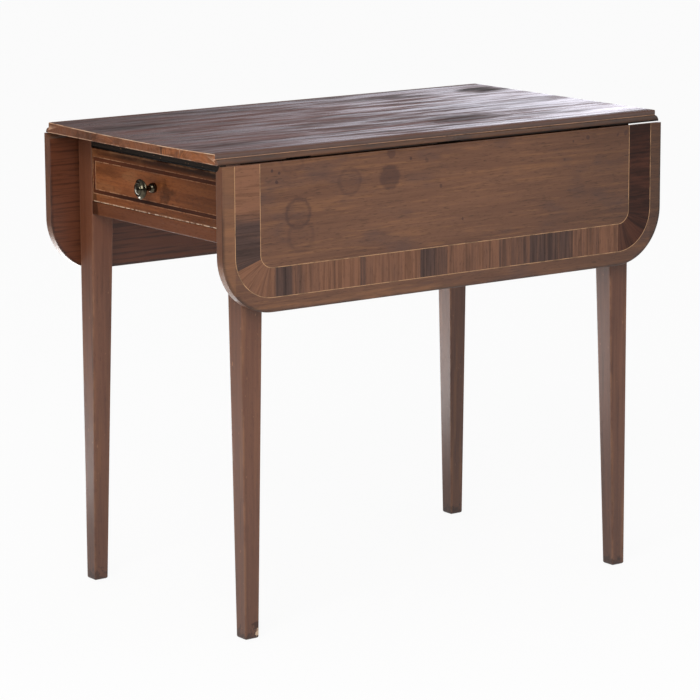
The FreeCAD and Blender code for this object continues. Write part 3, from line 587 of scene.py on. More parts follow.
@made_once
def crossband_wood():
    """Veneers with their grain across the band, each with its own depth of colour, redder at the back end."""
    finish = finish_settings()
    wood = Wood("crossband_wood", finish.band_light, finish.band_dark, "grain", tone=9.0, streak=330.0)
    depth = wood.attribute("depth")
    figure = wood.figure((14.0, 90.0, 40.0))
    lines = wood.plus(wood.minus(wood.streaks, 0.5), wood.times(wood.minus(figure, 0.5), 0.8))
    tone = wood.between(wood.plus(depth, lines), 0.0, 1.0)
    wood.colour = wood.mix(tone, finish.band_light, finish.band_dark)
    x = wood.parts(wood.position())[0]
    back_end = wood.between(x, 0.26, 0.36)
    wood.tint(finish.band_red, back_end, 0.86, wood.between(depth, 0.3, 0.5))
    wood.shade(back_end, wood.between(depth, 0.6, 1.0), 0.45)
    wood.shade(back_end, wood.between(figure, 0.42, 0.62), 0.40)
    wood.shade(wood.between(wood.streaks, 0.48, 0.66), wood.between(depth, 0.5, 0.9), 0.35)
    rays = wood.figure((10.0, 190.0, 40.0), 2.0, 0.5)
    wood.shade(wood.between(rays, 0.48, 0.64), 0.26)
    wood.shade(wood.pores, 0.35)
    return wood.done(finish.wood_gloss, specular=BAND_SHEEN)


def inlaid_line(name, pale):
    """A pale inlaid line, dirty in places."""
    wood = Wood(name, pale, toned(pale, 0.75), "X", tone=30.0)
    wood.shade(wood.between(wood.mottle((55.0, 55.0, 55.0)), 0.46, 0.66), 0.55)
    return wood


@made_once
def boxwood_inlay():
    return inlaid_line("boxwood_inlay", finish_settings().boxwood).done(finish_settings().wood_gloss)


@made_once
def worn_drawer_line():
    """Pale lines of the drawer, cleanest by the far leg and stained nearly as dark as the front elsewhere."""
    finish = finish_settings()
    wood = inlaid_line("worn_drawer_line", finish.drawer_line)
    y = wood.parts(wood.position())[1]
    wood.tint(finish.drawer_dark, wood.between(y, 0.12, 0.07, 0.10, 0.62))
    wood.tint(finish.drawer_dark, wood.between(wood.mottle((60.0, 95.0, 60.0)), 0.48, 0.62, 0.0, 0.8))
    return wood.done(finish.wood_gloss, specular=DRAWER_SHEEN)


@made_once
def dark_inlay():
    """Red-brown line between the pale ones, darker away from the far leg."""
    finish = finish_settings()
    wood = Wood("dark_inlay", toned(finish.dark_line, 3.2), finish.dark_line, "Y", tone=40.0, contrast=1.4)
    y = wood.parts(wood.position())[1]
    wood.shade(wood.between(y, 0.14, 0.06), 0.4)
    return wood.done(finish.wood_gloss, specular=DARK_SHEEN)


# the knob's painted shadow on the drawer front, and how fast the painted shade beside the far leg widens
# downwards
KNOB_SHADOW = (FRONT_LOW.x, -0.024, KNOB_HEIGHT - 0.008)
LEG_SHADE_SLOPE = 0.17


def leg_grime(wood, y, z):
    """Paint shade in a wedge beside the far leg that widens downwards from the head of the drawer."""
    wedge = wood.times(wood.minus(FRONT_HIGH.z, z), LEG_SHADE_SLOPE)
    inside = wood.minus(wood.plus(y, wedge), FRONT_HIGH.y)
    wood.shade(wood.between(inside, -0.002, 0.002), 0.55)


@made_once
def warm_drawer_wood():
    """Warm wood of the drawer front: golden by the far leg, darker along its head from dirt and painted
    shade, painted shade towards the near leg and in a wedge beside the far leg, the knob's painted shadow
    beside the knob, and a chipped lower edge."""
    finish = finish_settings()
    wood = Wood("warm_drawer_wood", finish.drawer_light, finish.drawer_dark, "Y", tone=9.0)
    place = wood.position()
    y, z = wood.parts(place)[1:]
    ragged = wood.between(wood.mottle((90.0, 90.0, 90.0), 3.0, 0.5), 0.3, 0.7, -0.01, 0.01)
    # painted shadow of the knob, beside it on the drawer front
    away = wood.plus(wood.distance(place, KNOB_SHADOW), ragged)
    wood.shade(wood.between(away, 0.006, 0.026, 0.50, 0.0))
    # the drawer's head is darker, partly from dirt and partly from painted shade under the rail
    head = wood.between(z, FRONT_HIGH.z - 0.014, FRONT_HIGH.z - 0.006)
    wood.shade(head, wood.between(y, 0.19, 0.08, 0.35, 0.75))
    # painted shade: the front grows darker towards the near leg, away from the light
    wood.shade(wood.between(y, 0.06, FRONT_LOW.y), 0.5)
    wood.shade(wood.patches((9.0, 40.0, 40.0), 0.52, 0.70), 0.3)
    golden = wood.patches((18.0, 40.0, 40.0), 0.48, 0.66, 0.4)
    wood.tint(finish.leaf_gold, golden, wood.between(y, 0.02, 0.08))
    wood.shade(wood.patches((130.0, 420.0, 420.0), 0.52, 0.68, detail=2.0), 0.25)
    # painted shade in a wedge beside the far leg
    leg_grime(wood, y, z)
    wood.wear(finish.worn_wood, 0.5)
    low_edge = wood.between(z, FRONT_LOW.z + 0.0022, FRONT_LOW.z + 0.0012)
    chips = wood.patches((150.0, 40.0, 40.0), 0.42, 0.56, 0.9, detail=2.0)
    wood.tint(finish.chipped, low_edge, wood.attribute("wear"), chips)
    return wood.done(finish.wood_gloss, specular=DRAWER_SHEEN)


@made_once
def blackened_rail():
    """The rail above the drawer, near black, with pale specks where it has chipped and a painted shadow line
    along its foot.
    """
    finish = finish_settings()
    wood = Wood("blackened_rail", finish.black_rail, toned(finish.black_rail, 0.5), "Y", tone=14.0)
    wood.tint(finish.worn_wood, wood.patches((160.0, 420.0, 420.0), 0.70, 0.76, 0.8, detail=1.0))
    z = wood.parts(wood.position())[2]
    # painted shadow line along the rail's foot, over the gap above the drawer
    wood.shade(wood.between(z, FRONT_HIGH.z + 0.004, FRONT_HIGH.z + 0.002), 0.85)
    return wood.done(finish.wood_gloss, specular=DARK_SHEEN)


def frame_wood(name, along):
    """Wood of the legs and rails: dark and golden streaks, pale specks and slightly rubbed edges."""
    finish = finish_settings()
    wood = Wood(name, finish.frame_light, finish.frame_dark, along, tone=16.0)
    wood.shade(wood.patches((5.0, 210.0, 210.0), 0.58, 0.72), 0.35)
    wood.tint(finish.leaf_gold, wood.patches((4.0, 60.0, 60.0), 0.56, 0.74, 0.45))
    wood.tint(finish.worn_wood, wood.patches((110.0, 260.0, 260.0), 0.74, 0.80, 0.5, detail=1.0))
    wood.wear(finish.worn_wood, 0.25)
    return wood


# marks on the foot by the drawer and the near leaf
FOOT_BRUISE = (-0.340, -LEG_HIGH.y, 0.020)
FOOT_CHIP = (-0.3385, -LEG_HIGH.y, 0.010)


@made_once
def leg_wood():
    """Legs: grain upright, darker and grimy towards the floor, painted shade that makes the top of the far
    legs darker and redder, and a bruise with a pale chip under it on the foot by the drawer and the near
    leaf."""
    finish = finish_settings()
    wood = frame_wood("leg_wood", "Z")
    place = wood.position()
    y, height = wood.parts(place)[1:]
    wood.shade(wood.between(height, 0.0, 0.40, 0.22, 0.0))
    ragged = wood.between(wood.mottle((140.0, 140.0, 140.0)), 0.3, 0.7, -1.0, 1.0)
    grime = wood.plus(height, wood.times(ragged, 0.010))
    wood.shade(wood.between(grime, 0.004, 0.020, 0.55, 0.0))
    for mark, reach, other in ((FOOT_BRUISE, 0.009, finish.dark_line), (FOOT_CHIP, 0.005, finish.chipped)):
        away = wood.plus(wood.distance(place, mark), wood.times(ragged, 0.004))
        wood.tint(other, wood.between(away, reach * 0.4, reach, 0.85, 0.0))
    # painted shade: the top of the far legs, kept from the sheen by the far leaf, is turned darker and redder
    wood.tint(finish.drawer_dark, wood.between(height, 0.42, 0.56), wood.between(y, 0.0, 0.05, 0.0, 0.6))
    return wood.done(finish.wood_gloss)


@made_once
def rail_wood():
    """Rails along Y: the wood of the drawer, with painted shade by the far leg at the drawer's end."""
    finish = finish_settings()
    wood = frame_wood("rail_wood", "Y")
    wood.tint(finish.drawer_dark, 0.6)
    wood.shade(wood.patches((130.0, 420.0, 420.0), 0.52, 0.68, detail=2.0), 0.22)
    x, y, z = wood.parts(wood.position())
    # painted shade in a wedge beside the far leg
    leg_grime(wood, wood.plus(y, wood.between(x, -0.2, -0.1, 0.0, -1.0)), z)
    return wood.done(finish.wood_gloss, specular=RAIL_SHEEN)


@made_once
def apron_wood():
    return frame_wood("apron_wood", "X").done(finish_settings().wood_gloss)


def raw_wood(kind, along):
    """Unpolished inner wood, oak or carcass wood, with its grain along X or Y."""
    finish = finish_settings()
    name = kind + {"X": "_long", "Y": "_cross"}[along]
    light, dark = {"oak": (finish.oak_light, finish.oak_dark),
                   "carcass": (finish.carcass_light, finish.carcass_dark)}[kind]
    return bpy.data.materials.get(name) or Wood(name, light, dark, along, tone=14.0).done(finish.raw_gloss)


def metal(name, base, rough, tarnish, rubbed=None, bright=None):
    """Metal with small pits and a cloudy tarnish, and a painted highlight, a bright spot about the place
    given as rubbed.
    """
    shader = Shader(name)
    worn = shader.between(shader.mottle((160.0, 160.0, 160.0), 4.0), 0.4, 0.7)
    pits = shader.mottle((900.0, 900.0, 900.0), 2.0, 0.5)
    tone = shader.mix(worn, base, toned(base, tarnish))
    # painted highlight: the base turns to the bright colour about the given place
    if rubbed:
        away = shader.distance(shader.position(), rubbed)
        tone = shader.mix(shader.between(away, 0.0025, 0.0050, 1.0, 0.0), tone, bright)
    dulled = shader.plus(rough, shader.times(worn, 0.15))
    inputs = {"Base Color": tone, "Metallic": 1.0, "Roughness": dulled,
              "Normal": shader.bump(pits, 0.15, 0.0001)}
    return shader.surface(inputs)


@made_once
def blackened_iron():
    return metal("blackened_iron", finish_settings().iron, rough=0.5, tarnish=0.5)


@made_once
def darkened_bronze():
    """Dark metal of the knob, with a painted highlight near the middle of its face."""
    finish = finish_settings()
    # middle of the painted highlight
    rubbed = (HEAD_LOW.x, KNOB_ACROSS + 0.002, KNOB_HEIGHT)
    return metal("darkened_bronze", finish.bronze, rough=0.12, tarnish=0.45, rubbed=rubbed,
                 bright=finish.rubbed_bronze)


@made_once
def plain_steel():
    return metal("plain_steel", finish_settings().steel, rough=0.35, tarnish=0.6)


# kinds of point attribute, by how many numbers a point has
ATTRIBUTE_KINDS = {1: ("FLOAT", "value"), 3: ("FLOAT_VECTOR", "vector")}
# the least turn between two faces for a sharp edge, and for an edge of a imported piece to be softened
SHARP_ANGLE = math.radians(32)
SOFTENED_ANGLE = math.radians(50)
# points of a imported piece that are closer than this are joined
WELD_REACH = 0.00001


def skin(rings, first=0):
    """Points and faces of a closed skin: rings[i, j] is point j of ring i, and neighbours are joined by
    four-sided faces. Each ring closes on itself, and the first and last rings are filled."""
    count, around = rings.shape[:2]
    index = np.arange(count * around).reshape(count, around) + first
    ahead = np.roll(index, -1, axis=1)
    sides = np.stack([index[:-1], ahead[:-1], ahead[1:], index[1:]], axis=-1).reshape(-1, 4)
    return rings.reshape(-1, 3), sides.tolist() + [index[0, ::-1].tolist(), index[-1].tolist()]


def build(name, skins, material, **attributes):
    """One object from several skins, facing outwards, with its point attributes and its finish."""
    points, faces = [], []
    for rings in skins:
        more, sides = skin(rings, sum(len(part) for part in points))
        points.append(more)
        faces += sides
    mesh = bpy.data.meshes.new(name)
    mesh.from_pydata(np.concatenate(points).tolist(), [], faces)
    for key, values in attributes.items():
        kind, field = ATTRIBUTE_KINDS[values.size // len(mesh.vertices)]
        mesh.attributes.new(key, kind, "POINT").data.foreach_set(field, values.ravel())
    work = bmesh.new()
    work.from_mesh(mesh)
    bmesh.ops.recalc_face_normals(work, faces=work.faces)
    work.to_mesh(mesh)
    work.free()
    mesh.shade_smooth()
    mesh.set_sharp_from_angle(angle=SHARP_ANGLE)
    mesh.materials.append(material)
    piece = bpy.data.objects.new(name, mesh)
    bpy.context.scene.collection.objects.link(piece)
    return piece


def mount(piece, body, slot, *nodes):
    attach(piece, body)
    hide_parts(*nodes)


def dress(nodes, material, arris=0.0):
    """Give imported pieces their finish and, where arris is more than 0, soften their edges."""
    for name in nodes:
        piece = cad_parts[name]
        piece.data.materials.clear()
        piece.data.materials.append(material)
        if arris:
            weld = piece.modifiers.new("Weld", "WELD")
            weld.merge_threshold = WELD_REACH
            bevel = piece.modifiers.new("Bevel", "BEVEL")
            bevel.width = arris
            bevel.segments = 2
            bevel.limit_method = "ANGLE"
            bevel.angle_limit = SOFTENED_ANGLE


def both(*names):
    return [f"{name}_{side}" for name in names for side in SIDES]


# how many points a stretch of an outline has, or how many rings a stretch of a piece has
ROUND_STEPS = 6
GROOVE_STEPS = 11
UNDER_STEPS = 3
TOP_STEPS = 24
TOP_RINGS = 40
LEAF_SIDE_STEPS, LEAF_CORNER_STEPS, LEAF_BASE_STEPS = 13, 24, 40
LEAF_RINGS = 14
TAPER_RINGS, SQUARE_RINGS = 30, 6
PLANK_STEPS = 12
TURNED_STEPS = 72
FLARE_RINGS, RIM_RINGS, FACE_RINGS = 24, 10, 25
COLLAR_RINGS = 30
VENEER_RINGS = 14
LINE_RINGS = 320


def quarter(steps=ROUND_STEPS):
    return np.linspace(0, math.pi / 2, steps)


def rounded_ends(start, stop, radius, margin, middle=()):
    """Inset and place of each ring along a piece whose two ends are rounded off by a quarter circle. A ring
    a little way in on each end face keeps that face flat."""
    turn = quarter()
    inset = np.concatenate([[radius + margin], radius * (1 - np.sin(turn))])
    rise = np.concatenate([[0], radius * (1 - np.cos(turn))])
    places = np.concatenate([start + rise, middle, (stop - rise)[::-1]])
    insets = np.concatenate([inset, np.zeros(len(middle)), inset[::-1]])
    return insets, places


def sweep(y, z, radius, start, stop):
    """Points on circles, one circle for each ring, from the start angle to the stop angle."""
    turn = start + (stop - start) * np.linspace(0, 1, 2 * ROUND_STEPS)
    return y + radius * np.cos(turn), z + radius * np.sin(turn)


def run(start, stop, count):
    """Points from one value to another for each ring, without the ends."""
    return start + (stop - start) * np.linspace(0, 1, count + 2)[1:-1]


# half the width of the slope between two levels of a recess, and the places of the three hinges of a leaf
SLOPE = 0.00003
HINGE_ROW = np.array((-1, 0, 1))


def hinge_recess(x, y):
    """Depth of the recess for the hinges under the top: a half round about each pin, and a flat for flaps."""
    shape = shape_settings()
    let_in = (np.abs(x[..., None] - HINGE_ROW * shape.hinge_spacing) < shape.hinge_room / 2).any(axis=-1)
    groove = np.sqrt((shape.barrel_room ** 2 - (y - SHOULDER) ** 2).clip(0, None))
    flat = shape.flap_room * (y > SHOULDER - shape.flap_length)
    return let_in * np.maximum(groove, flat)


def top_section(inset, seam):
    """The section of a top board, drawn in by each ring's inset: flat under, quarter round, step, worn arris,
    flat top, and seam. A radius shrinks by the inset, and the last fifth of a millimetre of an arris stays.
    Gives back the places across, the heights, and 1 at the points on the rubbed line at the step's foot."""
    shape = shape_settings()
    sharp = 0.0002
    margin = 0.004
    heel = 0.0006
    inset = np.asarray(inset)[:, None]
    step = SHOULDER - inset
    under, over = UNDERSIDE + inset, TOP_HEIGHT - inset
    swell = OVOLO - inset
    lean = np.arcsin(inset / swell)
    arris = (shape.top_arris - inset).clip(sharp, None)
    joint = (shape.seam_arris - inset).clip(sharp, None)
    edge = seam + inset
    flat = step - arris - margin
    flap = SHOULDER - shape.flap_length
    groove = SHOULDER - shape.barrel_room * np.cos(np.linspace(0, math.pi, GROOVE_STEPS))
    let_in = np.concatenate([[flap - SLOPE, flap + SLOPE], groove])
    let_in = np.broadcast_to(let_in, (len(inset), len(let_in)))
    underneath = [run(edge, flap - SLOPE, UNDER_STEPS), let_in,
                  run(groove[-1], SHOULDER + swell, UNDER_STEPS)]
    pieces = [
        (edge, under),
        (np.concatenate(underneath, axis=1), under),
        sweep(SHOULDER, UNDERSIDE, swell, lean, math.pi / 2 + lean),
        (step, UNDERSIDE + OVOLO + heel),
        (step, UNDERSIDE + OVOLO + 2 * heel),
        (step, TOP_HEIGHT - TOP_THICK / 5),
        sweep(step - arris, over - arris, arris, 0, math.pi / 2),
        (flat, over),
        (run(flat, edge + joint + margin, TOP_STEPS), over),
        (edge + joint + margin, over),
        sweep(edge + joint, over - joint, joint, math.pi / 2, math.pi),
    ]
    pieces = [np.broadcast_arrays(y, z) for y, z in pieces]
    rubbed = [np.zeros(y.shape[1]) for y, z in pieces]
    rubbed[2][-1] = 1.0
    rubbed[3][:] = 1.0
    across, height = [np.concatenate(parts, axis=1) for parts in zip(*pieces)]
    return across, height, np.concatenate(rubbed)


def top_board(seam, side):
    """A board of the top: the section (flat under, quarter round, step, worn arris, flat top, seam) carried
    along X, drawn in at both ends, and worn hollow towards the drawer end. Gives back its rings and where its
    edges rub."""
    shape = shape_settings()
    margin = 0.001
    clear = 0.006
    even = np.linspace(-HALF_TOP + clear, HALF_TOP - clear, TOP_RINGS)
    sides = np.array((-1, 1)) * shape.hinge_room / 2
    edges = np.add.outer(HINGE_ROW * shape.hinge_spacing, sides).ravel()
    middle = np.sort(np.concatenate([even, edges - SLOPE, edges + SLOPE]))
    inset, place = rounded_ends(-HALF_TOP, HALF_TOP, shape.end_arris, margin, middle)
    across, height, rubbed = top_section(inset, seam)
    along = np.broadcast_to(place[:, None], across.shape)
    height = np.maximum(height, UNDERSIDE + hinge_recess(along, across))
    hollow = shape.top_dish * (1 - (across / SHOULDER).clip(-1, 1) ** 2) * (0.5 - along / HALF_TOP / 2)
    height = UNDERSIDE + (height - UNDERSIDE) * (1 - hollow / TOP_THICK)
    rings = np.stack([along, across * side, height], axis=-1)
    ends = (inset > 0) & (inset < shape.end_arris * 0.7)
    upper = height > TOP_HEIGHT - hollow - TOP_THICK / 6
    wear = np.maximum(np.broadcast_to(rubbed, across.shape), ends[:, None] & upper)
    return rings, wear


def leaf_walk():
    """Lengths along a leaf's outline: its side, its corner's arc and its lower edge."""
    bend = shape_settings().leaf_corner
    return LEAF_TOP - LEAF_FOOT - bend, bend * math.pi / 2, 2 * (HALF_LEAF - bend)


def leaf_path(walk, inset):
    """A point of a leaf's outline, walk metres from the top of its -X side round to the top of its +X side,
    and inset metres in from the edge: a centre that moves down, along and up again, plus the rest of the
    corner radius along a normal that turns by a quarter circle at each lower corner."""
    bend = shape_settings().leaf_corner
    edge, corner, base = leaf_walk()
    first_turn = (walk - edge) / bend
    second_turn = (walk - edge - corner - base) / bend
    turn = first_turn.clip(0, math.pi / 2) + second_turn.clip(0, math.pi / 2)
    fall = (edge - walk).clip(0, None)
    rise = (walk - edge - 2 * corner - base).clip(0, None)
    x = bend - HALF_LEAF + (walk - edge - corner).clip(0, base) - (bend - inset) * np.cos(turn)
    z = LEAF_FOOT + bend + fall + rise - (bend - inset) * np.sin(turn)
    return x, z


def leaf_board(side):
    """A leaf: the outline drawn in at the arrises and stacked from the inner face to the outer one. Its upper
    edge follows the hollow of the rule joint, a circle about the hinge pin. Gives back its rings and where
    its edges rub."""
    shape = shape_settings()
    edge, corner, base = leaf_walk()
    outer = LEAF_OUT - shape.inlay_proud
    hollow = OVOLO + shape.cove_gap
    margin = 0.004
    clear = 0.002
    middle = np.linspace(LEAF_IN + clear, outer - clear, LEAF_RINGS)
    inset, place = rounded_ends(LEAF_IN, outer, shape.leaf_arris, margin, middle)
    side_run, corner_run = (edge, LEAF_SIDE_STEPS), (corner, LEAF_CORNER_STEPS)
    steps = []
    start = 0.0
    for span, count in (side_run, corner_run, (base, LEAF_BASE_STEPS), corner_run, side_run):
        steps.append(start + np.linspace(0, span, count, endpoint=False))
        start += span
    walk = np.concatenate([*steps, [start]])
    x, z = leaf_path(walk[None], inset[:, None])
    reach = (place - LEAF_IN).clip(0, hollow)
    lip = np.minimum(UNDERSIDE - np.sqrt(hollow ** 2 - reach ** 2), LEAF_TOP) - inset
    bend_height = LEAF_FOOT + shape.leaf_corner
    stretch = (lip - bend_height)[:, None] / (LEAF_TOP - bend_height)
    z = np.where(z > bend_height, bend_height + (z - bend_height) * stretch, z)
    top_x = (HALF_LEAF - inset)[:, None] * run(1, -1, TOP_STEPS)
    x = np.concatenate([x, top_x], axis=1)
    z = np.concatenate([z, np.broadcast_to(lip[:, None], top_x.shape)], axis=1)
    y = np.broadcast_to(place[:, None], x.shape)
    rings = np.stack([x * side, y * side, z], axis=-1)
    arris = (inset > 0) & (inset <= shape.leaf_arris)
    return rings, np.broadcast_to(arris[:, None], x.shape).astype(float)


def leaf_strip(start, stop, inner, outer, side, count):
    """A strip of inlay: a thin rectangle between two insets, carried along a leaf's outline. Gives back its
    rings, and at each point its inset, its place along the outline, and where the strip starts."""
    thick = 4 * shape_settings().inlay_proud
    walk = np.linspace(start, stop, count)[:, None]
    inset = np.array([[inner, outer, outer, inner]])
    depth = np.array([[LEAF_OUT, LEAF_OUT, LEAF_OUT - thick, LEAF_OUT - thick]])
    x, z = leaf_path(walk, inset)
    y = np.broadcast_to(depth, x.shape)
    grain = np.stack(np.broadcast_arrays(inset, walk, start), axis=-1)
    return np.stack([x * side, y * side, z], axis=-1), grain


def leg_rings(end, side):
    """A leg: a rounded square stacked up the leg. Its outer faces are upright, and it narrows from the apron
    to the floor on its inner faces. Gives back its rings and where its edges rub."""
    shape = shape_settings()
    margin = 0.003
    clear = 0.004
    tapered = np.linspace(clear, APRON_FOOT, TAPER_RINGS)
    square = np.linspace(APRON_FOOT + clear / 2, UNDERSIDE - clear, SQUARE_RINGS)
    middle = np.concatenate([tapered, square])
    inset, height = rounded_ends(0.0, UNDERSIDE, shape.foot_arris, margin, middle)
    width = shape.leg_foot + (LEG_SQUARE - shape.leg_foot) * (height / APRON_FOOT).clip(0, 1)
    radius = shape.leg_arris
    turn = np.concatenate([[0], quarter(), [math.pi / 2]])
    back = np.tile(np.concatenate([[margin], np.zeros(ROUND_STEPS), [0]]), 4)
    ahead = np.tile(np.concatenate([[0], np.zeros(ROUND_STEPS), [margin]]), 4)
    into = np.repeat(np.arange(4) * math.pi / 2, len(turn))
    round_turn = into + np.tile(turn, 4)
    reach = math.sqrt(2) * ((width / 2 - inset)[:, None] - radius)
    x = reach * np.cos(math.pi / 4 + into) + radius * np.cos(round_turn)
    x = x + back * np.sin(into) - ahead * np.cos(into)
    y = reach * np.sin(math.pi / 4 + into) + radius * np.sin(round_turn)
    y = y - back * np.cos(into) - ahead * np.sin(into)
    centre_x = (LEG_HIGH.x - width / 2)[:, None] * end
    centre_y = (LEG_HIGH.y - width / 2)[:, None] * side
    rings = np.stack([centre_x + x, centre_y + y, np.broadcast_to(height[:, None], x.shape)], axis=-1)
    return rings, np.broadcast_to((back + ahead == 0).astype(float), x.shape)


def plank(low, high, arris, sunk=0.0):
    """A board with its front face at -X: a rectangle in Y and Z, drawn in at both faces by a quarter circle.
    Gives back its rings and where its edges rub."""
    margin = 0.003
    inset, place = rounded_ends(low.x + sunk, high.x, arris, margin)
    share = np.linspace(0, 1, PLANK_STEPS, endpoint=False)
    flat = np.zeros(PLANK_STEPS)
    y_share = np.concatenate([share, flat + 1, 1 - share, flat])
    z_share = np.concatenate([flat, share, flat + 1, 1 - share])
    drawn = inset[:, None]
    y = low.y + drawn + (high.y - low.y - 2 * drawn) * y_share
    z = low.z + drawn + (high.z - low.z - 2 * drawn) * z_share
    worn = (inset > 0) & (inset <= arris)
    rings = np.stack(np.broadcast_arrays(place[:, None], y, z), axis=-1)
    return rings, np.broadcast_to(worn[:, None], y.shape).astype(float)


def turned_piece(radius, place):
    """A piece turned on the lathe about the knob's line: a circle of its own radius at each place along X."""
    around = np.linspace(0, 2 * math.pi, TURNED_STEPS, endpoint=False)
    radius, place = np.asarray(radius)[:, None], np.asarray(place)[:, None]
    y = KNOB_ACROSS + radius * np.cos(around)
    z = KNOB_HEIGHT + radius * np.sin(around)
    return np.stack(np.broadcast_arrays(place, y, z), axis=-1)


def knob_head():
    """The knob's head: a neck that flares along half a cosine to a rounded rim, then a face that domes along
    a quarter sine, with a raised ring and a groove, each a bell curve over the way to the middle."""
    neck = 0.0042
    neck_length = 0.004
    flare_length = 0.0105
    lip = 0.0006
    rim_length = 0.0014
    rim_round = 0.00108
    ring_height, groove_depth, bell = 0.0009, 0.0007, 0.06
    point = 0.0002
    share = np.linspace(0, 1, FLARE_RINGS)
    flare_r = neck + (KNOB_RADIUS - lip - neck) * (0.5 - 0.5 * np.cos(math.pi * share)) ** 1.3
    flare_x = HEAD_HIGH.x - neck_length - flare_length * share
    rim = quarter(RIM_RINGS)
    rim_r = KNOB_RADIUS - rim_round * (1 - np.cos(rim - math.pi / 4)) / (1 - math.cos(math.pi / 4))
    rim_x = flare_x[-1] - lip - rim_length * rim / (math.pi / 2)
    face = np.linspace(0, 1, FACE_RINGS + 1)[1:]
    face_r = rim_r[-1] * (1 - face)
    dome = (rim_x[-1] - HEAD_LOW.x) * np.sin(face * math.pi / 2) ** 1.2
    ring = ring_height * np.exp(-((face - 0.28) / bell) ** 2)
    groove = groove_depth * np.exp(-((face - 0.42) / bell) ** 2)
    face_x = rim_x[-1] - dome - ring + groove
    radius = np.concatenate([[neck], flare_r, rim_r, face_r.clip(point, None)])
    place = np.concatenate([[HEAD_HIGH.x], flare_x, rim_x, face_x.clip(HEAD_LOW.x, None)])
    return turned_piece(radius, place)


def knob_base():
    """The collar under the knob: a round foot that draws in to the neck, its radius a power of a sine."""
    neck = 0.0036
    share = np.linspace(0, 1, COLLAR_RINGS)
    swell = np.sin(math.pi * (0.18 + 0.78 * share) ** 0.8) ** 0.55
    radius = neck + (COLLAR_RADIUS - neck) * swell
    return turned_piece(radius, COLLAR_HIGH.x - (COLLAR_HIGH.x - COLLAR_LOW.x) * share)


class TopBoards(bpy.types.Operator):
    """Make the two boards of the top"""

    bl_idname = "table.top_boards"
    bl_label = "Top boards"

    def execute(self, context):
        for name, seam, side in (("wide", -SEAM, 1), ("narrow", SEAM, -1)):
            rings, wear = top_board(seam, side)
            piece = build(f"{name}_top_board", [rings], polished_top(), wear=wear)
            mount(piece, "frame", "top_mahogany", f"top_{name}_board")
        return {"FINISHED"}


class LeafBoards(bpy.types.Operator):
    """Make the two drop leaves"""

    bl_idname = "table.leaf_boards"
    bl_label = "Leaf boards"

    def execute(self, context):
        for name, side in SIDES.items():
            rings, wear = leaf_board(side)
            piece = build(f"{name}_leaf_board", [rings], faded_leaf(), wear=wear)
            mount(piece, f"{name}_leaf", "leaf_mahogany", f"leaf_board_{name}")
        return {"FINISHED"}


# veneers of the crossband, from the top of one end round to the other: length as a share of its stretch, and
# depth of colour where it starts and where it stops
SIDE_VENEERS = ((0.50, 0.05, 0.10), (0.22, 0.05, 1.30), (0.28, 0.95, 0.95))
CORNER_VENEERS = ((0.206, 0.92, 0.95), (0.09, 0.0, 0.05), (0.704, 0.15, 0.30))
LOWER_VENEERS = ((5, 0.30, 0.70), (13, 0.86, 0.90), (16, 1.45, 0.75), (120, 0.52, 0.10), (12, 0.82, 0.45),
                 (97, 0.36, 0.24), (27, 0.92, 0.80), (23, 0.74, 0.64), (98, 0.36, 0.30), (58, 0.64, 0.52),
                 (84, 0.88, 0.78), (90, 0.40, 0.32))
LAST_CORNER_VENEERS = ((0.45, 0.62, 0.56), (0.55, 0.60, 0.84))
LAST_SIDE_VENEERS = ((0.48, 0.90, 0.60), (0.52, 0.64, 1.00))


class Crossbands(bpy.types.Operator):
    """Lay the crossband veneers on both leaves"""

    bl_idname = "table.crossbands"
    bl_label = "Crossbands"

    def execute(self, context):
        shape = shape_settings()
        edge, corner, base = leaf_walk()
        inner = shape.string_inset + shape.string_width
        outer = inner + shape.band_width
        stretches = ((edge, SIDE_VENEERS), (corner, CORNER_VENEERS), (base, LOWER_VENEERS),
                     (corner, LAST_CORNER_VENEERS), (edge, LAST_SIDE_VENEERS))
        for name, side in SIDES.items():
            skins, grains, depths = [], [], []
            start = 0.0
            for span, veneers in stretches:
                total = sum(veneer[0] for veneer in veneers)
                for share, *depth in veneers:
                    stop = start + span * share / total
                    rings, grain = leaf_strip(start, stop, inner, outer, -side, VENEER_RINGS)
                    rings[..., 1] *= -1
                    skins.append(rings)
                    grains.append(grain.reshape(-1, 3))
                    ramp = np.linspace(*depth, len(rings))[:, None]
                    depths.append(np.broadcast_to(ramp, rings.shape[:2]).ravel())
                    start = stop
            piece = build(f"{name}_crossband", skins, crossband_wood(), depth=np.concatenate(depths),
                          grain=np.concatenate(grains))
            mount(piece, f"{name}_leaf", "crossband_veneer", f"leaf_crossband_{name}")
        return {"FINISHED"}


class Stringing(bpy.types.Operator):
    """Let the boxwood lines into both leaves"""

    bl_idname = "table.stringing"
    bl_label = "Stringing"

    def execute(self, context):
        shape = shape_settings()
        edge, corner, base = leaf_walk()
        total = 2 * (edge + corner) + base
        inner = shape.string_inset + shape.string_width + shape.band_width
        for name, side in SIDES.items():
            skins = [leaf_strip(0.0, total, start, start + shape.string_width, side, LINE_RINGS)[0]
                     for start in (shape.string_inset, inner)]
            piece = build(f"{name}_stringing", skins, boxwood_inlay())
            mount(piece, f"{name}_leaf", "boxwood_line", f"leaf_stringing_{name}")
        return {"FINISHED"}


class Legs(bpy.types.Operator):
    """Make the four tapered legs"""

    bl_idname = "table.legs"
    bl_label = "Legs"

    def execute(self, context):
        for end_name, end in ENDS.items():
            for side_name, side in SIDES.items():
                rings, wear = leg_rings(end, side)
                piece = build(f"{end_name}_{side_name}_leg", [rings], leg_wood(), wear=wear)
                mount(piece, "frame", "frame_mahogany", f"leg_{end_name}_{side_name}")
        return {"FINISHED"}


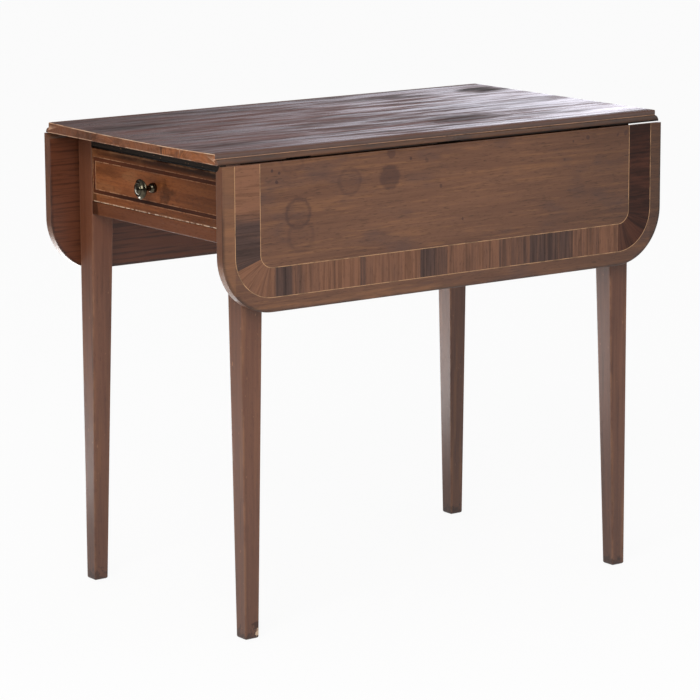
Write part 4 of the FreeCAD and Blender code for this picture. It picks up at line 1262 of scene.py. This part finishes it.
class DrawerFront(bpy.types.Operator):
    """Make the drawer front and finish its inlaid lines"""

    bl_idname = "table.drawer_front"
    bl_label = "Drawer front"

    def execute(self, context):
        shape = shape_settings()
        rings, wear = plank(FRONT_LOW, FRONT_HIGH, shape.front_arris, shape.inlay_proud)
        piece = build("inlaid_drawer_front", [rings], warm_drawer_wood(), wear=wear)
        mount(piece, "drawer", "drawer_mahogany", "drawer_front")
        dress(("drawer_light_lines",), worn_drawer_line())
        dress(("drawer_dark_line",), dark_inlay())
        return {"FINISHED"}


class Knob(bpy.types.Operator):
    """Turn the knob and its collar"""

    bl_idname = "table.knob"
    bl_label = "Knob"

    def execute(self, context):
        head = build("turned_knob", [knob_head()], darkened_bronze())
        mount(head, "drawer", "knob_bronze", "drawer_knob")
        base = build("turned_collar", [knob_base()], darkened_bronze())
        mount(base, "drawer", "knob_bronze", "knob_collar")
        dress(("knob_bolt", "knob_nut"), plain_steel())
        return {"FINISHED"}


class FrameRails(bpy.types.Operator):
    """Finish the rails, fly brackets, runners and blocks of the frame"""

    bl_idname = "table.frame_rails"
    bl_label = "Frame rails"

    def execute(self, context):
        shape = shape_settings()
        for name, make in (("drawer_upper_rail", blackened_rail), ("drawer_lower_rail", rail_wood)):
            low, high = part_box(name)
            low.y, high.y = -RAIL_REACH, RAIL_REACH
            rings, wear = plank(low, high, shape.rail_arris)
            piece = build(f"{name}_front", [rings], make(), wear=wear)
            mount(piece, "frame", "frame_mahogany", name)
        dress(("back_rail",), rail_wood(), shape.rail_arris)
        dress(both("side_rail", "drawer_runner", "drawer_kicker"), raw_wood("carcass", "X"), shape.box_arris)
        dress(both("fly_rail", "fly_bracket", "fly_end_block"), apron_wood(), shape.box_arris)
        dress(both("fly_pin"), plain_steel())
        dress(("drawer_stops", "glue_blocks"), raw_wood("carcass", "Y"), shape.box_arris)
        return {"FINISHED"}


class DrawerBox(bpy.types.Operator):
    """Finish the drawer's sides, back and bottom"""

    bl_idname = "table.drawer_box"
    bl_label = "Drawer box"

    def execute(self, context):
        arris = shape_settings().box_arris
        dress(both("drawer_side"), raw_wood("oak", "X"), arris)
        dress(("drawer_back", "drawer_bottom"), raw_wood("oak", "Y"), arris)
        return {"FINISHED"}


class Ironwork(bpy.types.Operator):
    """Finish the hinges and screws"""

    bl_idname = "table.ironwork"
    bl_label = "Ironwork"

    def execute(self, context):
        hinges = both("hinge_top_flaps", "hinge_leaf_flaps", "hinge_pins")
        screws = both("hinge_top_screws", "hinge_leaf_screws")
        dress((*hinges, *screws, "top_screws"), blackened_iron())
        return {"FINISHED"}


# the floor: half its width, how far it lies below the feet, and middles of the parts that the lamps fall on
FLOOR_HALF = 20.0
FLOOR_DROP = 0.0002
LIT_FLOOR = (1.0, -1.4, 0.0)
LIT_FAR_FLOOR = (-0.8, 5.2, 0.0)
# the window stands behind the table at the right: the turn of its middle from +X, where it fades out on
# either side, and how high it reaches, as the upward part of a direction
WINDOW_TURN = math.radians(48.0)
WINDOW_EDGE = math.radians(12.0)
WINDOW_LOW, WINDOW_HIGH = 0.20, 0.45
ROOM_HUE = (0.80, 0.80, 0.80)
WINDOW_HUE = (0.77, 0.77, 0.87)
WHITE = (1.0, 1.0, 1.0)
# place, target, width and height of each lamp
KEY_LIGHT = ((-3.4, -3.0, 3.0), (0.0, 0.0, 0.45), 3.0, 3.0)
BOUNCE_LIGHT = ((-0.25, 1.05, 0.02), (-0.25, 1.05, 1.0), 0.7, 0.9)


def floor_finish():
    """Pale floor that looks white to the camera, and in reflections where the lamps fall on it, and keeps the
    table's shadow."""
    shader = Shader("floor")
    stage = bpy.context.scene.table_stage
    matt = shader.node("BsdfDiffuse", {"Color": stage.floor_white})
    light = shader.node("LightPath").outputs
    place = shader.position()
    pool = shader.between(shader.distance(place, LIT_FLOOR), 3.0, 4.6, 1.0, 0.12)
    far_pool = shader.between(shader.distance(place, LIT_FAR_FLOOR), 1.0, 2.0, 1.0, 0.0)
    strength = shader.math("MAXIMUM", light["Is Camera Ray"], shader.math("MAXIMUM", pool, far_pool))
    white = shader.node("Emission", {"Color": WHITE, "Strength": strength})
    seen = shader.math("MAXIMUM", light["Is Camera Ray"], light["Is Glossy Ray"])
    seen = shader.math("MAXIMUM", seen, light["Is Transmission Ray"])
    blend = shader.node("MixShader", {0: shader.times(seen, 0.92), 1: matt.outputs[0], 2: white.outputs[0]})
    shader.node("OutputMaterial", {"Surface": blend.outputs[0]})
    return shader.material


class Room(Shader):
    """The node tree of the light that comes from all round."""

    def __init__(self, name):
        self.world = bpy.data.worlds.new(name)
        self.world.use_nodes = True
        self.tree = self.world.node_tree
        self.tree.nodes.clear()


def room_light():
    """Light from all round, brighter overhead than near the horizon, with a soft window behind. The camera
    sees it white."""
    stage = bpy.context.scene.table_stage
    room = Room("room")
    x, y, height = room.parts(room.node("TexCoord").outputs["Generated"])
    turn = room.off(room.math("ARCTAN2", y, x), WINDOW_TURN)
    fade = room.node("MapRange", {"Value": turn, "From Min": WINDOW_EDGE, "From Max": 0.0}).outputs[0]
    window = room.times(room.math("POWER", fade, 2.0),
                        room.between(height, WINDOW_HIGH, WINDOW_LOW, 0.0, stage.window_glow))
    climb = {"Value": height, "From Min": 0.15, "To Min": stage.sky_low, "To Max": stage.sky_high}
    light = room.plus(room.node("MapRange", climb).outputs[0], window)
    white = room.node("LightPath").outputs["Is Camera Ray"]
    hue = room.mix(room.between(window, 0.0, 0.5), ROOM_HUE, WINDOW_HUE)
    sky = room.node("Background", {"Color": room.mix(white, hue, WHITE),
                                   "Strength": room.math("MAXIMUM", light, white)})
    room.node("OutputWorld", {"Surface": sky.outputs[0]})
    bpy.context.scene.world = room.world


def soft_light(name, place, target, width, height, watts):
    lamp = bpy.data.lights.new(name, "AREA")
    lamp.shape = "RECTANGLE"
    lamp.size, lamp.size_y = width, height
    lamp.energy = watts
    holder = bpy.data.objects.new(name, lamp)
    holder.location = place
    holder.rotation_euler = (Vector(target) - Vector(place)).to_track_quat("-Z", "Y").to_euler()
    bpy.context.scene.collection.objects.link(holder)


def photo_camera(stage):
    """A camera that looks along yaw and pitch, with its right and upward directions turned by roll."""
    level = math.cos(stage.pitch)
    ahead = Vector((math.sin(stage.yaw) * level, math.cos(stage.yaw) * level, -math.sin(stage.pitch)))
    right = Vector((math.cos(stage.yaw), -math.sin(stage.yaw), 0.0))
    up = right.cross(ahead)
    across = right * math.cos(stage.roll) + up * math.sin(stage.roll)
    upward = up * math.cos(stage.roll) - right * math.sin(stage.roll)
    turn = Matrix((across, upward, -ahead)).transposed().to_4x4()
    lens = bpy.data.cameras.new("camera")
    lens.lens = stage.lens
    camera = bpy.data.objects.new("camera", lens)
    camera.matrix_world = Matrix.Translation(stage.camera_place) @ turn
    return camera


class Stage(bpy.types.Operator):
    """Set up the camera, the lights and the floor"""

    bl_idname = "table.stage"
    bl_label = "Stage"

    def execute(self, context):
        stage = context.scene.table_stage
        camera = photo_camera(stage)
        context.scene.collection.objects.link(camera)
        context.scene.camera = camera
        mesh = bpy.data.meshes.new("floor")
        corners = [(x * FLOOR_HALF, y * FLOOR_HALF, 0) for x, y in ((-1, -1), (1, -1), (1, 1), (-1, 1))]
        mesh.from_pydata(corners, [], [(0, 1, 2, 3)])
        mesh.materials.append(floor_finish())
        floor = bpy.data.objects.new("floor", mesh)
        floor.location.z = -FLOOR_DROP
        context.scene.collection.objects.link(floor)
        soft_light("key", *KEY_LIGHT, stage.key_power)
        soft_light("bounce", *BOUNCE_LIGHT, stage.bounce_power)
        room_light()
        context.scene.view_settings.view_transform = "Standard"
        return {"FINISHED"}


class TablePanel(bpy.types.Panel):
    """The table's pieces and settings"""

    bl_idname = "VIEW3D_PT_pembroke_table"
    bl_label = "Pembroke table"
    bl_space_type = "VIEW_3D"
    bl_region_type = "UI"
    bl_category = "Table"

    def draw(self, context):
        for step in STEPS:
            self.layout.operator(step.bl_idname)
        for group in SETTINGS:
            settings = getattr(context.scene, group)
            for key in settings.__annotations__:
                self.layout.prop(settings, key)


SETTINGS = {"table_shape": TableShape, "table_finish": TableFinish, "table_stage": TableStage}
STEPS = (Stage, TopBoards, LeafBoards, Crossbands, Stringing, Legs, DrawerFront, Knob, FrameRails, DrawerBox,
         Ironwork)
CLASSES = (*SETTINGS.values(), *STEPS, TablePanel)


def register():
    for item in CLASSES:
        bpy.utils.register_class(item)
    for name, group in SETTINGS.items():
        setattr(bpy.types.Scene, name, PointerProperty(type=group))


def unregister():
    for name in SETTINGS:
        delattr(bpy.types.Scene, name)
    for item in reversed(CLASSES):
        bpy.utils.unregister_class(item)


def main():
    register()
    for step in STEPS:
        group, name = step.bl_idname.split(".")
        getattr(getattr(bpy.ops, group), name)()


if __name__ == "__main__":
    main()
